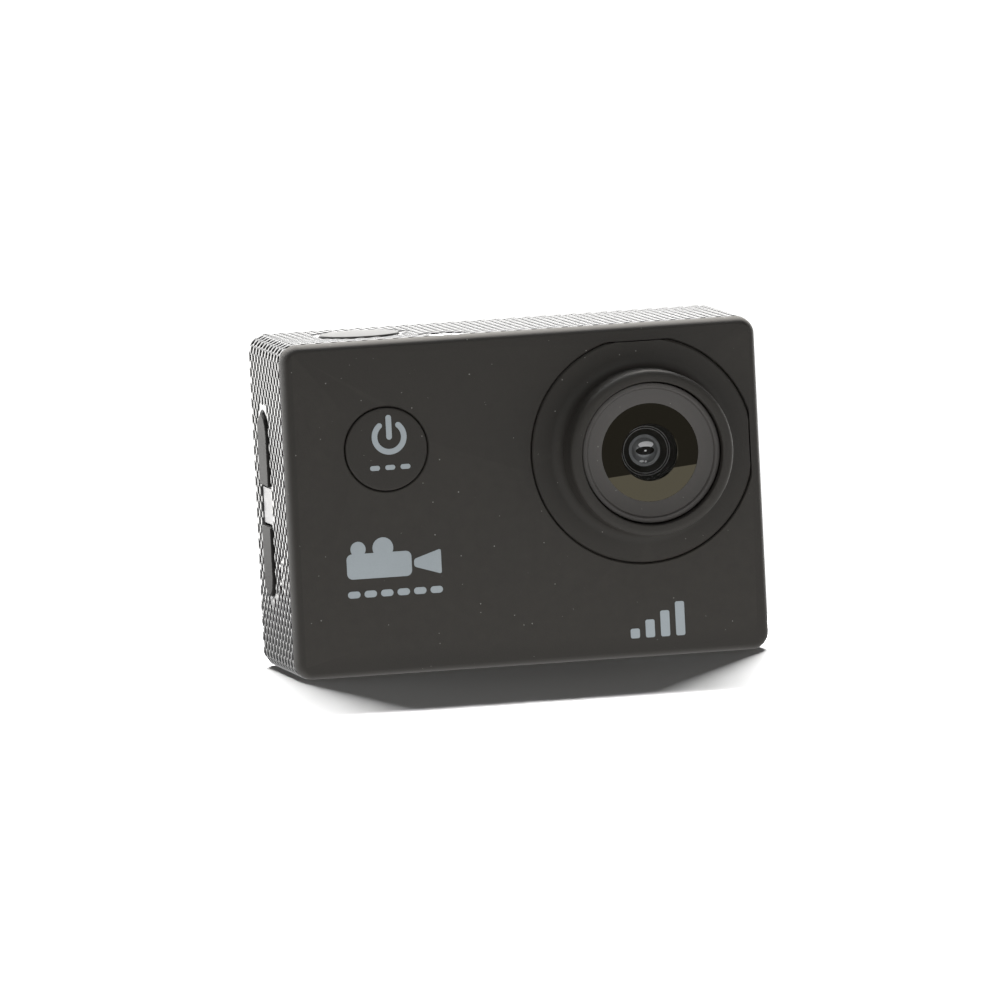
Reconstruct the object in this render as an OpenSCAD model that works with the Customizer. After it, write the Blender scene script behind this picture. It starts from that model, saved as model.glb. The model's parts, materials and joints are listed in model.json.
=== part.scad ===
// Compact action camera: a woven side band closed by a front and a rear cover.
// The body stands on its base. The lens looks along -Y, and +X is the lens side.
// Inside the modules, Y starts at the front face; in_frame() moves it all to the part's origin.

/* [Body] */
// Width of the body across its front face
body_w = 59.3; // [59.3:0.1:62]
// Height of the body on its base
body_h = 41.1; // [41.1:0.1:43]
// Depth of the body, without the lens
body_d = 23.4; // [23.4:0.1:25]
// Radius of the four corners, seen from the front
corner_r = 2.2; // [1.8:0.1:2.8]
// Rounding of the covers' outer edges
edge_r = 0.9; // [0.5:0.1:1.1]

/* [Lens] */
// How far the lens barrel stands in front of the face
lens_proud = 5.9; // [5.4:0.1:7]
// Distance of the lens axis from the body's lens side
lens_inset = 14.9; // [14.7:0.1:15.5]
// Distance of the lens axis below the top
lens_drop = 15.5; // [15.3:0.1:16]
// Radius of the plinth around the barrel
plinth_r = 13.85; // [13.4:0.05:14]
// Radius of the lens barrel
barrel_r = 10.2; // [9.9:0.1:10.4]

/* [Buttons] */
// Radius of the mode button on the face
mode_r = 5.1; // [4.5:0.1:5.2]
// Travel of the mode button
mode_travel = 0.5; // [0.3:0.05:0.5]
// Radius of the shutter button on top
shutter_r = 4.9; // [4.5:0.1:5]
// Travel of the shutter button
shutter_travel = 0.35; // [0.25:0.05:0.35]
// How far the two side keys stand proud
key_proud = 0.25; // [0.2:0.05:0.5]
// Travel of the side keys
key_travel = 0.3; // [0.2:0.05:0.3]

/* [Screen] */
// Width of the screen's viewing area
view_w = 40.8; // [30:0.1:41]
// Height of the screen's viewing area
view_h = 30.6; // [22:0.1:30.8]

/* [Battery door] */
// Length of the door along the base
door_l = 34.2; // [33:0.1:34.4]
// Radius of the hinge pin
pin_r = 0.46; // [0.4:0.01:0.47]

/* [Tripod socket] */
// Radius of the socket's thread, which is 1/4 inch across
socket_r = 3.175; // [3.175:0.001:3.2]
// Depth of the thread
socket_l = 5.5; // [4.5:0.1:5.8]

/* [Hidden] */
$fn = 64;

// The part's origin is under the middle of its overall box
frame_x = key_proud / 2;
frame_y = (lens_proud - body_d) / 2;

// Shell
wall = 1.6;
rim_d = 2.2;
rear_d = 1.6;
rear_inset = 0.35;
gap = 0.1;
band_inset = 0.1;
band_w = body_w - 2 * band_inset;
band_h = body_h - 2 * band_inset;
band_r = corner_r - band_inset;
in_w = band_w - 2 * wall;
in_h = band_h - 2 * wall;
in_r = 0.6;
mid_z = body_h / 2;
base_z = band_inset;
top_z = body_h - band_inset;
floor_z = base_z + wall;
ceiling_z = top_z - wall;
left_x = -band_w / 2;
right_x = band_w / 2;
lip_t = 0.8;
lip_d = 1.2;
back_in = body_d - wall;

// Lens stack, measured back from the face
lens_x = body_w / 2 - lens_inset;
lens_z = body_h - lens_drop;
plinth_t = 1.2;
plinth_gap = 0.14;
flat_r = plinth_r - 0.5;
ledge_r = plinth_r - 1.3;
bore_r = barrel_r - 1.4;
rim_r = 0.7;
flare_r = 1.3;
hood_r = bore_r - 0.2;
hood_front = 0.95 - lens_proud;
dish_d = 0.85;
hood_back = 2.6;
glass_r = 6.2;
glass_t = 0.9;
glass_y = hood_front + dish_d + 0.05;
baffle_r = 5.85;
baffle_y = glass_y + glass_t + 0.05;
element_r = 3;
element_y = -1.5;
cell_r = 5.9;
cell_y = -0.35;
cell_end = 12.6;
holder_w = 15;
holder_y = 6.8;
rear_glass_r = 4.5;
sensor_y = 14.6;
board_t = 1;

// Boards and chassis
board_y = 5.6;
board_w = 54.6;
board_z = 3;
board_h = 35;
post_r = 1.8;
post_x = 25.9;
post_low = 4.6;
post_high = 36.3;
screw_r = 0.7;
plate_y = 18.7;
plate_t = 0.5;
bay_wall = 0.7;

// Battery
cell_w = 29.2;
cell_h = 32.9;
cell_d = 10.4;
cell_x = -23.3;
cell_front = 8.2;
cell_z = 2.4;
bay_top = 36.4;

// Battery door in the base
door_x = -26;
door_y = 7.15;
door_w = 12.3;
door_t = 1.2;
door_z = base_z + 0.05;
knuckle_r = 1;
hinge_x = door_x + knuckle_r;
hinge_z = door_z + knuckle_r;
pin_hole_r = pin_r + 0.04;
ear_y = 1.6;
ear_z = 2.6;

// Tripod socket
socket_x = lens_x;
socket_y = 12.4;
insert_r = 4.5;
insert_l = 6.4;
boss_r = 5.6;
boss_h = 7.4;

// Screen in the rear cover
screen_x = -1.5;
window_w = 50;
window_h = 36.4;
window_t = 0.9;
panel_w = 46;
panel_h = 35;

// Buttons and their switches
mode_x = 12.4 - body_w / 2;
mode_z = body_h - 13.3;
shutter_x = 12 - body_w / 2;
shutter_y = body_d / 2;
shutter_proud = 0.35;
flange = 0.7;
key_y = 14.7;
key_w = 5.4;
key_gap = 0.15;
recess_w = 6;
recess_l = 25.1;
recess_d = 0.4;
up_low = 23;
up_high = 32.3;
down_low = 8.9;
down_high = 18;
plunger_r = 0.8;
well_r = 1;
switch_w = 4.2;

// Ports on the lens side, and the small openings
usb_y = 8;
usb_z = 29.8;
video_y = 8.15;
video_z = 12.5;
card_y = 4.75;
card_z = 13;
port_shell = 0.3;
mic_z = 20.5;
mic_y = 8.8;
sound_y = 7.8;
sound_z = 12.5;
sound_r = 0.4;
light_x = 20.9 - body_w / 2;
light_y = 5;

// Finishes
soft_black = [0.22, 0.21, 0.19];
gloss_black = [0.07, 0.07, 0.07];
charcoal = [0.3, 0.3, 0.29];
board_green = [0.05, 0.25, 0.14];
chip_black = [0.1, 0.1, 0.11];
tin = [0.72, 0.72, 0.7];
copper = [0.7, 0.45, 0.2];

module in_frame() {
    translate([frame_x, frame_y, 0]) children();
}

// Outlines ------------------------------------------------------------

module rounded(w, h, r) {
    square([w, h - 2 * r], center = true);
    square([w - 2 * r, h], center = true);
    for (x = [-1, 1], y = [-1, 1])
        translate([x * (w / 2 - r), y * (h / 2 - r)]) circle(r);
}

// A bar with both ends round, standing upright
module pill(w, l) {
    square([w, l - w], center = true);
    for (y = [-1, 1]) translate([0, y * (l - w) / 2]) circle(w / 2);
}

// The plinth's outline, cut flat beside the body's top and side
module plinth_outline(r, flat) {
    intersection() {
        circle(r);
        translate([-r, -r]) square(r + flat);
    }
}

// A side key's outline, round at one end: 1 is the upper key, -1 the lower
module key_outline(low, high, end, spare) {
    w = key_w + 2 * spare;
    l = high - low + 2 * spare;
    translate([0, (low + high) / 2]) {
        translate([-w / 2, end > 0 ? -l / 2 : w / 2 - l / 2]) square([w, l - w / 2]);
        translate([0, end * (l - w) / 2]) circle(w / 2);
    }
}

// Solids --------------------------------------------------------------

// An outline drawn as X by Z, between two depths
module slab(near, far) {
    translate([0, far, 0]) rotate([90, 0, 0]) linear_extrude(far - near) children();
}

// An outline drawn as Y by Z, between two places along X
module side_slab(near, far) {
    translate([near, 0, 0]) rotate([90, 0, 90]) linear_extrude(far - near) children();
}

// A block between two corners
module block(low, high) {
    translate(low) cube(high - low);
}

// A round bar along Y
module rod(x, z, r, near, far) {
    translate([x, near, z]) rotate([-90, 0, 0]) cylinder(r = r, h = far - near);
}

// A round bar along X
module side_rod(y, z, r, near, far) {
    translate([near, y, z]) rotate([0, 90, 0]) cylinder(r = r, h = far - near);
}

// A profile of [radius, depth] points turned about the lens axis
module turned(points) {
    translate([lens_x, 0, lens_z]) rotate([-90, 0, 0]) rotate_extrude() polygon(points);
}

// Points along an arc, from one angle to another
function arc(cx, cy, r, from, to, steps = 6) =
    [for (i = [0:steps]) let (a = from + (to - from) * i / steps) [cx + r * cos(a), cy + r * sin(a)]];

// Body shell ----------------------------------------------------------

// A cover's outer form, with its face at Y 0 and its seam at the given depth.
// The inset draws in its sides and top, and leaves its base on the ground.
module cover_blank(depth, inset) {
    w = body_w - 2 * inset;
    h = body_h - inset;
    translate([0, 0, h / 2])
        hull()
            for (a = [0:18:90]) {
                in = edge_r * (1 - sin(a));
                slab(edge_r * (1 - cos(a)), depth)
                    rounded(w - 2 * in, h - 2 * in, corner_r - inset - in, $fn = 32);
            }
}

// The cover with the lip that locates it inside the band
module cover_shell(depth, inset) {
    difference() {
        cover_blank(depth, inset);
        if (depth > wall) translate([0, 0, mid_z]) slab(wall, depth + 1) rounded(in_w, in_h, in_r);
    }
    translate([0, 0, mid_z])
        difference() {
            slab(wall, depth + lip_d) rounded(in_w - 2 * gap, in_h - 2 * gap, in_r);
            slab(wall - 1, depth + lip_d + 1)
                rounded(in_w - 2 * gap - 2 * lip_t, in_h - 2 * gap - 2 * lip_t, in_r);
        }
}

module front_cover() {
    color(soft_black) in_frame()
        difference() {
            cover_shell(rim_d, 0);
            rod(mode_x, mode_z, mode_r + 0.13, -1, wall + 1);
            translate([lens_x, 0, lens_z]) {
                slab(-1, plinth_t) plinth_outline(plinth_r + plinth_gap, flat_r + plinth_gap);
                slab(-1, wall + 1) circle(ledge_r);
            }
        }
}

module rear_cover() {
    color(soft_black) in_frame()
        translate([0, body_d, 0]) mirror([0, 1, 0])
            difference() {
                cover_shell(rear_d, rear_inset);
                translate([screen_x, 0, mid_z]) {
                    slab(-1, window_t) rounded(window_w + 2 * gap, window_h + 2 * gap, 1.6);
                    slab(-1, wall + 1) rounded(view_w + 1, view_h + 1, 0.8);
                }
                for (z = light_rows()) rod(light_column(), z, 0.85, -1, wall + 1);
                // room for the hinge ear
                block([hinge_x - 2, wall, 1], [hinge_x + 2, rear_d + lip_d + 1, 3]);
            }
}

module band_ring() {
    translate([0, 0, mid_z])
        difference() {
            slab(rim_d, body_d - rear_d) rounded(band_w, band_h, band_r);
            slab(rim_d - 1, body_d) rounded(in_w, in_h, in_r);
        }
}

module sound_holes() {
    for (row = [-2:2], col = [0, 1])
        if (row + col < 3)
            side_rod(sound_y + 1.1 * (col - 0.5), sound_z + 1.1 * (row + col / 2), sound_r,
                left_x - 1, left_x + wall + 1);
}

module side_band() {
    door_end = door_x + door_l;
    color(gloss_black) in_frame()
        difference() {
            union() {
                band_ring();
                translate([socket_x, socket_y, floor_z - 0.5])
                    cylinder(r = boss_r, h = boss_h - floor_z + 0.5);
                for (y = [door_y - 0.15 - ear_y, door_y + door_w + 0.15])
                    block([hinge_x - 1.6, y, floor_z - 0.5], [hinge_x + 1.6, y + ear_y, ear_z]);
            }
            // shutter button
            translate([shutter_x, shutter_y, ceiling_z - 1]) cylinder(r = shutter_r + 0.15, h = wall + 2);
            // side keys in their long recess
            side_slab(left_x - 1, left_x + recess_d) translate([key_y, mid_z]) pill(recess_w, recess_l);
            side_slab(left_x - 1, left_x + wall + 1) translate([key_y, 0]) {
                key_outline(up_low, up_high, 1, key_gap);
                key_outline(down_low, down_high, -1, key_gap);
            }
            sound_holes();
            // ports
            side_slab(right_x - wall - 1, right_x + 1) {
                translate([usb_y, usb_z]) rounded(3.1, 8, 0.5);
                translate([video_y, video_z]) rounded(3.4, 6.9, 0.4);
                translate([card_y, card_z]) rounded(1.3, 11.6, 0.3);
            }
            side_rod(mic_y, mic_z, 0.5, right_x - wall - 1, right_x + 1);
            // indicator window
            translate([light_x, light_y, ceiling_z - 1]) linear_extrude(wall + 2) rotate(90) pill(2, 4.8);
            // battery door and its hinge pin
            block([door_x - 0.3, door_y - 0.15, -1], [door_end + 0.2, door_y + door_w + 0.15, floor_z + 1]);
            rod(hinge_x, hinge_z, pin_r + 0.02, door_y - 1.4, door_y + door_w + 1.4);
            // socket insert
            translate([socket_x, socket_y, -1]) cylinder(r = insert_r + 0.02, h = insert_l + 1 + base_z);
        }
}

// Lens ----------------------------------------------------------------

module lens_plinth() {
    out = barrel_r - rim_r;
    top = rim_r - lens_proud;
    barrel = concat(
        [[bore_r, plinth_t], [bore_r, top]],
        arc(bore_r + rim_r, top, rim_r, 180, 270),
        arc(out, top, rim_r, 270, 360),
        arc(barrel_r + flare_r, -flare_r, flare_r, 180, 90),
        [[barrel_r + flare_r, plinth_t]]
    );
    color(soft_black) in_frame() {
        turned(barrel);
        difference() {
            translate([lens_x, 0, lens_z]) slab(0, plinth_t) plinth_outline(plinth_r, flat_r);
            rod(lens_x, lens_z, barrel_r, -1, plinth_t + 1);
        }
    }
}

module lens_hood() {
    seat = glass_r + 0.05;
    inner = cell_r + 0.15;
    color(charcoal) in_frame()
        turned([
            [seat, hood_front + dish_d], [hood_r - 0.25, hood_front], [hood_r, hood_front + 0.2],
            [hood_r, wall + 0.05], [ledge_r - 1.5, wall + 0.05], [ledge_r - 1.5, hood_back],
            [inner, hood_back], [inner, glass_y + glass_t], [seat, glass_y + glass_t]
        ]);
}

module lens_window() {
    color([0.1, 0.1, 0.1, 0.6]) in_frame() rod(lens_x, lens_z, glass_r, glass_y, glass_y + glass_t);
}

module lens_baffle() {
    color(gloss_black) in_frame()
        turned([
            [baffle_r - 0.35, baffle_y], [baffle_r, baffle_y], [baffle_r, cell_y - 0.05],
            [element_r + 0.05, cell_y - 0.05], [element_r + 0.05, element_y],
            [element_r + 0.5, element_y - 0.1]
        ]);
}

module front_element() {
    dome_r = 3.6;
    color([0.25, 0.3, 0.35, 0.6]) in_frame()
        intersection() {
            translate([lens_x, element_y + dome_r, lens_z]) sphere(dome_r);
            rod(lens_x, lens_z, element_r, element_y - 1, cell_y + 1.2);
        }
}

module lens_cell() {
    color(chip_black) in_frame()
        turned([
            [element_r + 0.05, cell_y], [cell_r, cell_y], [cell_r, cell_end], [4, cell_end],
            [4, cell_end - 0.6], [4.6, cell_end - 0.6], [4.6, cell_y + 1.3],
            [element_r + 0.05, cell_y + 1.3]
        ]);
}

// Three convex glasses, each a disc with a domed front
module rear_elements() {
    bulge_r = 12;
    edge = sqrt(pow(bulge_r, 2) - pow(rear_glass_r, 2));
    sweep = asin(rear_glass_r / bulge_r);
    color([0.5, 0.6, 0.65, 0.5]) in_frame()
        for (glass = [[2.4, 0.9], [5.4, 1.4], [9.4, 1.2]])
            turned(concat(
                [[0, glass[0] + glass[1]], [rear_glass_r, glass[0] + glass[1]]],
                arc(0, glass[0] + edge, bulge_r, sweep - 90, -90)
            ));
}

module lens_holder() {
    color(chip_black) in_frame()
        difference() {
            translate([lens_x, 0, lens_z]) slab(holder_y, sensor_y) rounded(holder_w, holder_w, 1);
            rod(lens_x, lens_z, cell_r + 0.04, holder_y - 1, cell_end + 0.1);
            translate([lens_x, 0, lens_z]) slab(cell_end, sensor_y + 1) square(10, center = true);
        }
}

module infrared_filter() {
    color([0.4, 0.65, 0.7, 0.5]) in_frame()
        translate([lens_x, 0, lens_z]) slab(cell_end + 0.15, cell_end + 0.55) square(9.6, center = true);
}

module image_sensor() {
    color([0.15, 0.17, 0.2]) in_frame()
        translate([lens_x, 0, lens_z]) slab(sensor_y - 1, sensor_y) square([8.4, 7.4], center = true);
}

module sensor_board() {
    color(board_green) in_frame()
        translate([lens_x, 0, lens_z]) slab(sensor_y, sensor_y + board_t) rounded(15.2, 20, 0.8);
}

// Folded ribbon from the sensor board to the main board, under the lens
module sensor_flex() {
    low = lens_z - 10;
    rear = sensor_y + 0.8;
    front = board_y + board_t;
    color(copper) in_frame()
        side_slab(lens_x - 3.5, lens_x + 3.5)
            polygon([
                [rear, low], [rear, low - 0.7], [front, low - 0.7],
                [front, low - 0.5], [rear - 0.2, low - 0.5], [rear - 0.2, low]
            ]);
}

// Electronics ---------------------------------------------------------

module main_board() {
    color(board_green) in_frame()
        difference() {
            translate([0, 0, board_z + board_h / 2])
                slab(board_y, board_y + board_t) rounded(board_w, board_h, 1);
            rod(lens_x, lens_z, cell_r + 0.7, board_y - 1, board_y + board_t + 1);
            for (x = [-post_x, post_x], z = [post_low, post_high])
                rod(x, z, screw_r + 0.2, board_y - 1, board_y + board_t + 1);
        }
}

module chip(x, z, w, h, near, far) {
    translate([x, 0, z]) slab(near, far) square([w, h], center = true);
}

module processor() {
    color(chip_black) in_frame() chip(-6, 12.5, 12, 12, 4.3, board_y);
}

module memory_chip() {
    color(chip_black) in_frame() chip(-19, 12.5, 8, 10, 4.5, board_y);
}

module thermal_pad() {
    color([0.6, 0.65, 0.7]) in_frame() chip(-6, 12.5, 12, 12, 3.8, 4.3);
}

module heat_spreader() {
    color(tin) in_frame() translate([-12.5, 0, 11.7]) slab(3.1, 3.8) rounded(26, 16, 1);
}

module wifi_module() {
    color(tin) in_frame() chip(7, 9, 10, 10.6, 3.9, board_y);
}

module wifi_antenna() {
    color(copper) in_frame() block([8, 5, ceiling_z - 0.25], [26, 17, ceiling_z - 0.05]);
}

module speaker() {
    color(chip_black) in_frame()
        block([left_x + wall + 0.1, 6.9, sound_z - 5.5], [left_x + wall + 3.5, 11.1, sound_z + 5.5]);
}

module microphone() {
    color(tin) in_frame() side_rod(mic_y, mic_z, 2, right_x - wall - 1.7, right_x - wall - 0.05);
}

// A metal port shell with its tongue, opening on the lens side
module port(y, z, w, h, l, tongue) {
    mouth = right_x - 0.3;
    difference() {
        side_slab(mouth - l, mouth) translate([y, z]) rounded(w, h, 0.4);
        side_slab(mouth - l + 1, mouth + 1)
            translate([y, z]) rounded(w - 2 * port_shell, h - 2 * port_shell, 0.25);
    }
    block([mouth - l + 0.5, y - 0.25, z - tongue / 2], [mouth - 0.8, y + 0.25, z + tongue / 2]);
}

module usb_socket() {
    color(tin) in_frame() port(usb_y, usb_z, 2.6, 7.5, 5.4, 4);
}

module video_socket() {
    color(tin) in_frame() port(video_y, video_z, 2.9, 6.4, 7.2, 4.4);
}

module card_slot() {
    color(tin) in_frame()
        difference() {
            side_slab(13.6, right_x - wall - 0.1) translate([card_y, card_z]) rounded(1.5, 12, 0.2);
            side_slab(14.4, right_x) translate([card_y, card_z]) square([0.8, 11.2], center = true);
        }
}

// Indicator chips: one under the top window, two behind the rear cover
function light_rows() = [24, 28];
function light_column() = body_w / 2 - 3.45;

module status_lights() {
    color("white") in_frame() {
        block([light_x - 0.8, 4.6, 35.9], [light_x + 0.8, board_y, 36.9]);
        for (z = light_rows())
            block([light_column() - 0.8, plate_y + plate_t, z - 0.8], [light_column() + 0.8, 20, z + 0.8]);
    }
}

module top_light_pipe() {
    color([0.85, 0.87, 0.9, 0.7]) in_frame() {
        translate([light_x, light_y, ceiling_z - 0.6])
            linear_extrude(wall + 0.55) rotate(90) pill(1.8, 4.6);
        block([light_x - 1, 4.1, 37], [light_x + 1, 5.4, ceiling_z - 0.4]);
    }
}

module rear_light_pipes() {
    color([0.85, 0.87, 0.9, 0.7]) in_frame()
        for (z = light_rows()) rod(light_column(), z, 0.75, 20.1, body_d - 0.05);
}

// Chassis, battery and door --------------------------------------------

module chassis() {
    left = cell_x - 0.2 - bay_wall;
    right = cell_x + cell_w + 0.2 + bay_wall;
    front = cell_front - 0.1 - bay_wall;
    color([0.16, 0.16, 0.16]) in_frame()
        difference() {
            union() {
                translate([0, 0, mid_z]) slab(plate_y, plate_y + plate_t) rounded(54.8, 35.2, 1);
                block([left, front, cell_z - 0.1], [right, plate_y + plate_t, bay_top]);
                for (x = [-post_x, post_x], z = [post_low, post_high])
                    rod(x, z, post_r, board_y + board_t, plate_y + plate_t);
            }
            block([left + bay_wall, front + bay_wall, 0], [right - bay_wall, plate_y, bay_top - 0.55]);
            for (x = [-post_x, post_x], z = [post_low, post_high])
                rod(x, z, screw_r + 0.02, board_y, 13);
        }
}

module chassis_screws() {
    color(tin) in_frame()
        for (x = [-post_x, post_x], z = [post_low, post_high]) {
            rod(x, z, screw_r, board_y - 0.1, 12);
            difference() {
                rod(x, z, 1.3, board_y - 0.9, board_y);
                translate([x, board_y - 1, z])
                    for (turn = [0, 90]) rotate([0, turn, 0]) cube([1.6, 0.9, 0.35], center = true);
            }
        }
}

module battery() {
    color([0.12, 0.2, 0.35]) in_frame()
        translate([cell_x + cell_w / 2, 0, cell_z + cell_h / 2])
            slab(cell_front, cell_front + cell_d) rounded(cell_w, cell_h, 1);
}

module battery_contacts() {
    color(copper) in_frame()
        for (i = [-1:1])
            block([2 * i - 13, 10, cell_z + cell_h], [2 * i - 11.8, 14, bay_top - 0.55]);
}

module battery_door() {
    grip_x = door_x + door_l - 4.5;
    color(soft_black) in_frame()
        difference() {
            union() {
                block([hinge_x, door_y, door_z], [door_x + door_l, door_y + door_w, door_z + door_t]);
                rod(hinge_x, hinge_z, knuckle_r, door_y, door_y + door_w);
                // raised pad that keeps the battery in place
                block([-21.5, door_y + 1.6, door_z + door_t - 0.2],
                    [4.5, door_y + door_w - 1.6, cell_z - 0.15]);
            }
            rod(hinge_x, hinge_z, pin_hole_r, door_y - 1, door_y + door_w + 1);
            // finger grooves by the free end
            for (i = [0:2])
                translate([grip_x + 1.2 * i, 0, 0])
                    block([0, door_y + 2.5, 0], [0.6, door_y + door_w - 2.5, door_z + 0.4]);
        }
}

module door_pin() {
    color(tin) in_frame() rod(hinge_x, hinge_z, pin_r, door_y - 1.3, door_y + door_w + 1.3);
}

module tripod_insert() {
    color([0.75, 0.6, 0.3]) in_frame()
        translate([socket_x, socket_y, 0])
            difference() {
                translate([0, 0, base_z]) cylinder(r = insert_r, h = insert_l);
                translate([0, 0, base_z - 1]) cylinder(r = socket_r, h = socket_l + 1);
            }
}

// Screen --------------------------------------------------------------

module screen_frame() {
    color(tin) in_frame()
        translate([screen_x, 0, mid_z]) slab(plate_y + plate_t + 0.05, 19.9) rounded(panel_w, panel_h, 0.6);
}

module screen_panel() {
    color([0.05, 0.06, 0.08]) in_frame()
        translate([screen_x, 0, mid_z]) slab(19.9, back_in - 0.05) rounded(panel_w - 1, panel_h - 1, 0.5);
}

module screen_window() {
    color([0.05, 0.05, 0.06, 0.8]) in_frame()
        translate([screen_x, 0, mid_z]) slab(body_d - window_t, body_d) rounded(window_w, window_h, 1.5);
}

// Ribbon over the sensor board, from the screen to the main board
module screen_flex() {
    top = board_z + board_h - 0.4;
    color(copper) in_frame()
        block([lens_x - 5, board_y + board_t, top - 0.2], [lens_x + 5, plate_y, top]);
}

// Buttons and switches --------------------------------------------------

// A round cap with a slightly domed face, drawn up from its flange
module cap_profile(r, h, dome, flange_r) {
    rotate_extrude()
        polygon(concat(
            [[0, 0], [flange_r, 0], [flange_r, flange], [r, flange], [r, h - dome - 0.2]],
            [for (i = [8:-1:0]) let (s = i / 8 * (r - 0.15)) [s, h - dome * pow(s / r, 2)]]
        ));
}

module mode_button() {
    // the flange's back is at the cap's zero height
    color(soft_black) in_frame()
        translate([mode_x, wall + 0.05 + flange, mode_z]) rotate([90, 0, 0])
            cap_profile(mode_r, wall + 0.05 + flange + 0.12, 0.12, mode_r + 0.8);
}

module mode_plunger() {
    color(tin) in_frame() rod(mode_x, mode_z, plunger_r, wall + 0.05 + flange, 4.5);
}

module mode_switch() {
    color(chip_black) in_frame()
        difference() {
            chip(mode_x, mode_z, switch_w, switch_w, 3.9, board_y);
            rod(mode_x, mode_z, well_r, 3, 4.55 + mode_travel);
        }
}

module shutter_button() {
    low = ceiling_z - 0.1 - flange;
    color(soft_black) in_frame()
        translate([shutter_x, shutter_y, low])
            cap_profile(shutter_r, top_z + shutter_proud - low, 0.1, shutter_r + 0.7);
}

module shutter_plunger() {
    low = bay_top + 0.6;
    color(tin) in_frame()
        translate([shutter_x, shutter_y, low]) cylinder(r = plunger_r, h = ceiling_z - 0.1 - flange - low);
}

module shutter_switch() {
    color(chip_black) in_frame()
        translate([shutter_x, shutter_y, bay_top])
            difference() {
                translate([-switch_w / 2, -switch_w / 2, 0]) cube([switch_w, switch_w, 1]);
                translate([0, 0, 0.55 - shutter_travel]) cylinder(r = well_r, h = 2);
            }
}

// A side key: its cap passes through the band and a wider foot holds it in
module side_key(low, high, end) {
    foot = left_x + wall + 0.1;
    side_slab(-body_w / 2 - key_proud, foot + 0.1) translate([key_y, 0]) key_outline(low, high, end, 0);
    side_slab(foot, foot + 0.6) translate([key_y, 0]) key_outline(low, high, end, 0.6);
}

module key_plunger(low, high) {
    side_rod(key_y, (low + high) / 2, plunger_r, left_x + wall + 0.7, left_x + wall + 1.75);
}

module key_switch(low, high) {
    near = left_x + wall + 1.2;
    mid = (low + high) / 2;
    difference() {
        block([near, key_y - switch_w / 2, mid - switch_w / 2],
            [near + 1.3, key_y + switch_w / 2, mid + switch_w / 2]);
        side_rod(key_y, mid, well_r, near - 1, near + 0.6 + key_travel);
    }
}

module up_button() {
    color(soft_black) in_frame() side_key(up_low, up_high, 1);
}

module up_plunger() {
    color(tin) in_frame() key_plunger(up_low, up_high);
}

module up_switch() {
    color(chip_black) in_frame() key_switch(up_low, up_high);
}

module down_button() {
    color(soft_black) in_frame() side_key(down_low, down_high, -1);
}

module down_plunger() {
    color(tin) in_frame() key_plunger(down_low, down_high);
}

module down_switch() {
    color(chip_black) in_frame() key_switch(down_low, down_high);
}

// Polished plate between the two keys
module key_bridge() {
    spare = 0.3;
    color(tin) in_frame()
        block([left_x + recess_d - 0.3, key_y - key_w / 2, down_high + spare],
            [left_x + recess_d, key_y + key_w / 2, up_low - spare]);
}

module key_board() {
    near = left_x + wall + 2.5;
    color(board_green) in_frame()
        block([near, key_y - 2.5, down_low + 1], [near + 0.8, key_y + 2.5, up_high - 1]);
}

front_cover();
side_band();
rear_cover();
lens_plinth();
lens_hood();
lens_window();
lens_baffle();
front_element();
lens_cell();
rear_elements();
lens_holder();
infrared_filter();
image_sensor();
sensor_board();
sensor_flex();
main_board();
processor();
memory_chip();
thermal_pad();
heat_spreader();
wifi_module();
wifi_antenna();
chassis();
chassis_screws();
battery();
battery_contacts();
battery_door();
door_pin();
tripod_insert();
screen_frame();
screen_panel();
screen_window();
screen_flex();
status_lights();
top_light_pipe();
rear_light_pipes();
mode_button();
mode_plunger();
mode_switch();
shutter_button();
shutter_plunger();
shutter_switch();
up_button();
up_plunger();
up_switch();
down_button();
down_plunger();
down_switch();
key_bridge();
key_board();
speaker();
microphone();
usb_socket();
video_socket();
card_slot();
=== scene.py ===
import json
import math

import bmesh
import bpy
from mathutils import Matrix, Vector


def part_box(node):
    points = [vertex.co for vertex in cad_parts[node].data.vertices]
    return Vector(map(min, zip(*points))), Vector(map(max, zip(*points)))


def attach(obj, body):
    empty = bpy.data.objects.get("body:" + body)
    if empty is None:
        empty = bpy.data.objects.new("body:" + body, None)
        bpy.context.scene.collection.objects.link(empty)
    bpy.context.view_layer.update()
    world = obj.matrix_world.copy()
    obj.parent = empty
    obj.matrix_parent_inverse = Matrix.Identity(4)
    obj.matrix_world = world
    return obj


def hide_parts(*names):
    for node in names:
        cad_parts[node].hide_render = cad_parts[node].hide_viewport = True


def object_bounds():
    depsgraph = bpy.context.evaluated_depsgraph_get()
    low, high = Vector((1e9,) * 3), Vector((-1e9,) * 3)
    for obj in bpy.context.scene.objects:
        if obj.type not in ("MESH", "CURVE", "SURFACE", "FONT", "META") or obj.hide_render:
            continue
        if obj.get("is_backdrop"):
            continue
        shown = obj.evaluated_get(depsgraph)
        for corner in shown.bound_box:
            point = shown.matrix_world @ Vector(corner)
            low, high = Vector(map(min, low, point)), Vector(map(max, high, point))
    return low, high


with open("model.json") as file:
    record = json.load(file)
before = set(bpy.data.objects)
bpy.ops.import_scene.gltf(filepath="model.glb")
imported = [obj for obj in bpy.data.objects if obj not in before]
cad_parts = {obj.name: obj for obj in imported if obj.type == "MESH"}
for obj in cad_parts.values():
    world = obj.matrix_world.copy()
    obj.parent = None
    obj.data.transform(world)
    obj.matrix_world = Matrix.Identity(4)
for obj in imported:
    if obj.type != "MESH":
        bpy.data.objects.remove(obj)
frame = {"nodes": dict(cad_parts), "record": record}
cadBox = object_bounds()
print("frame loaded:", len(frame["nodes"]), "nodes")

mm = 0.001
full = 2 * math.pi
root = "camera_body"


# ---- places, all read from the frame
def middle(node):
    low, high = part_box(node)
    return (low + high) / 2


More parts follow.
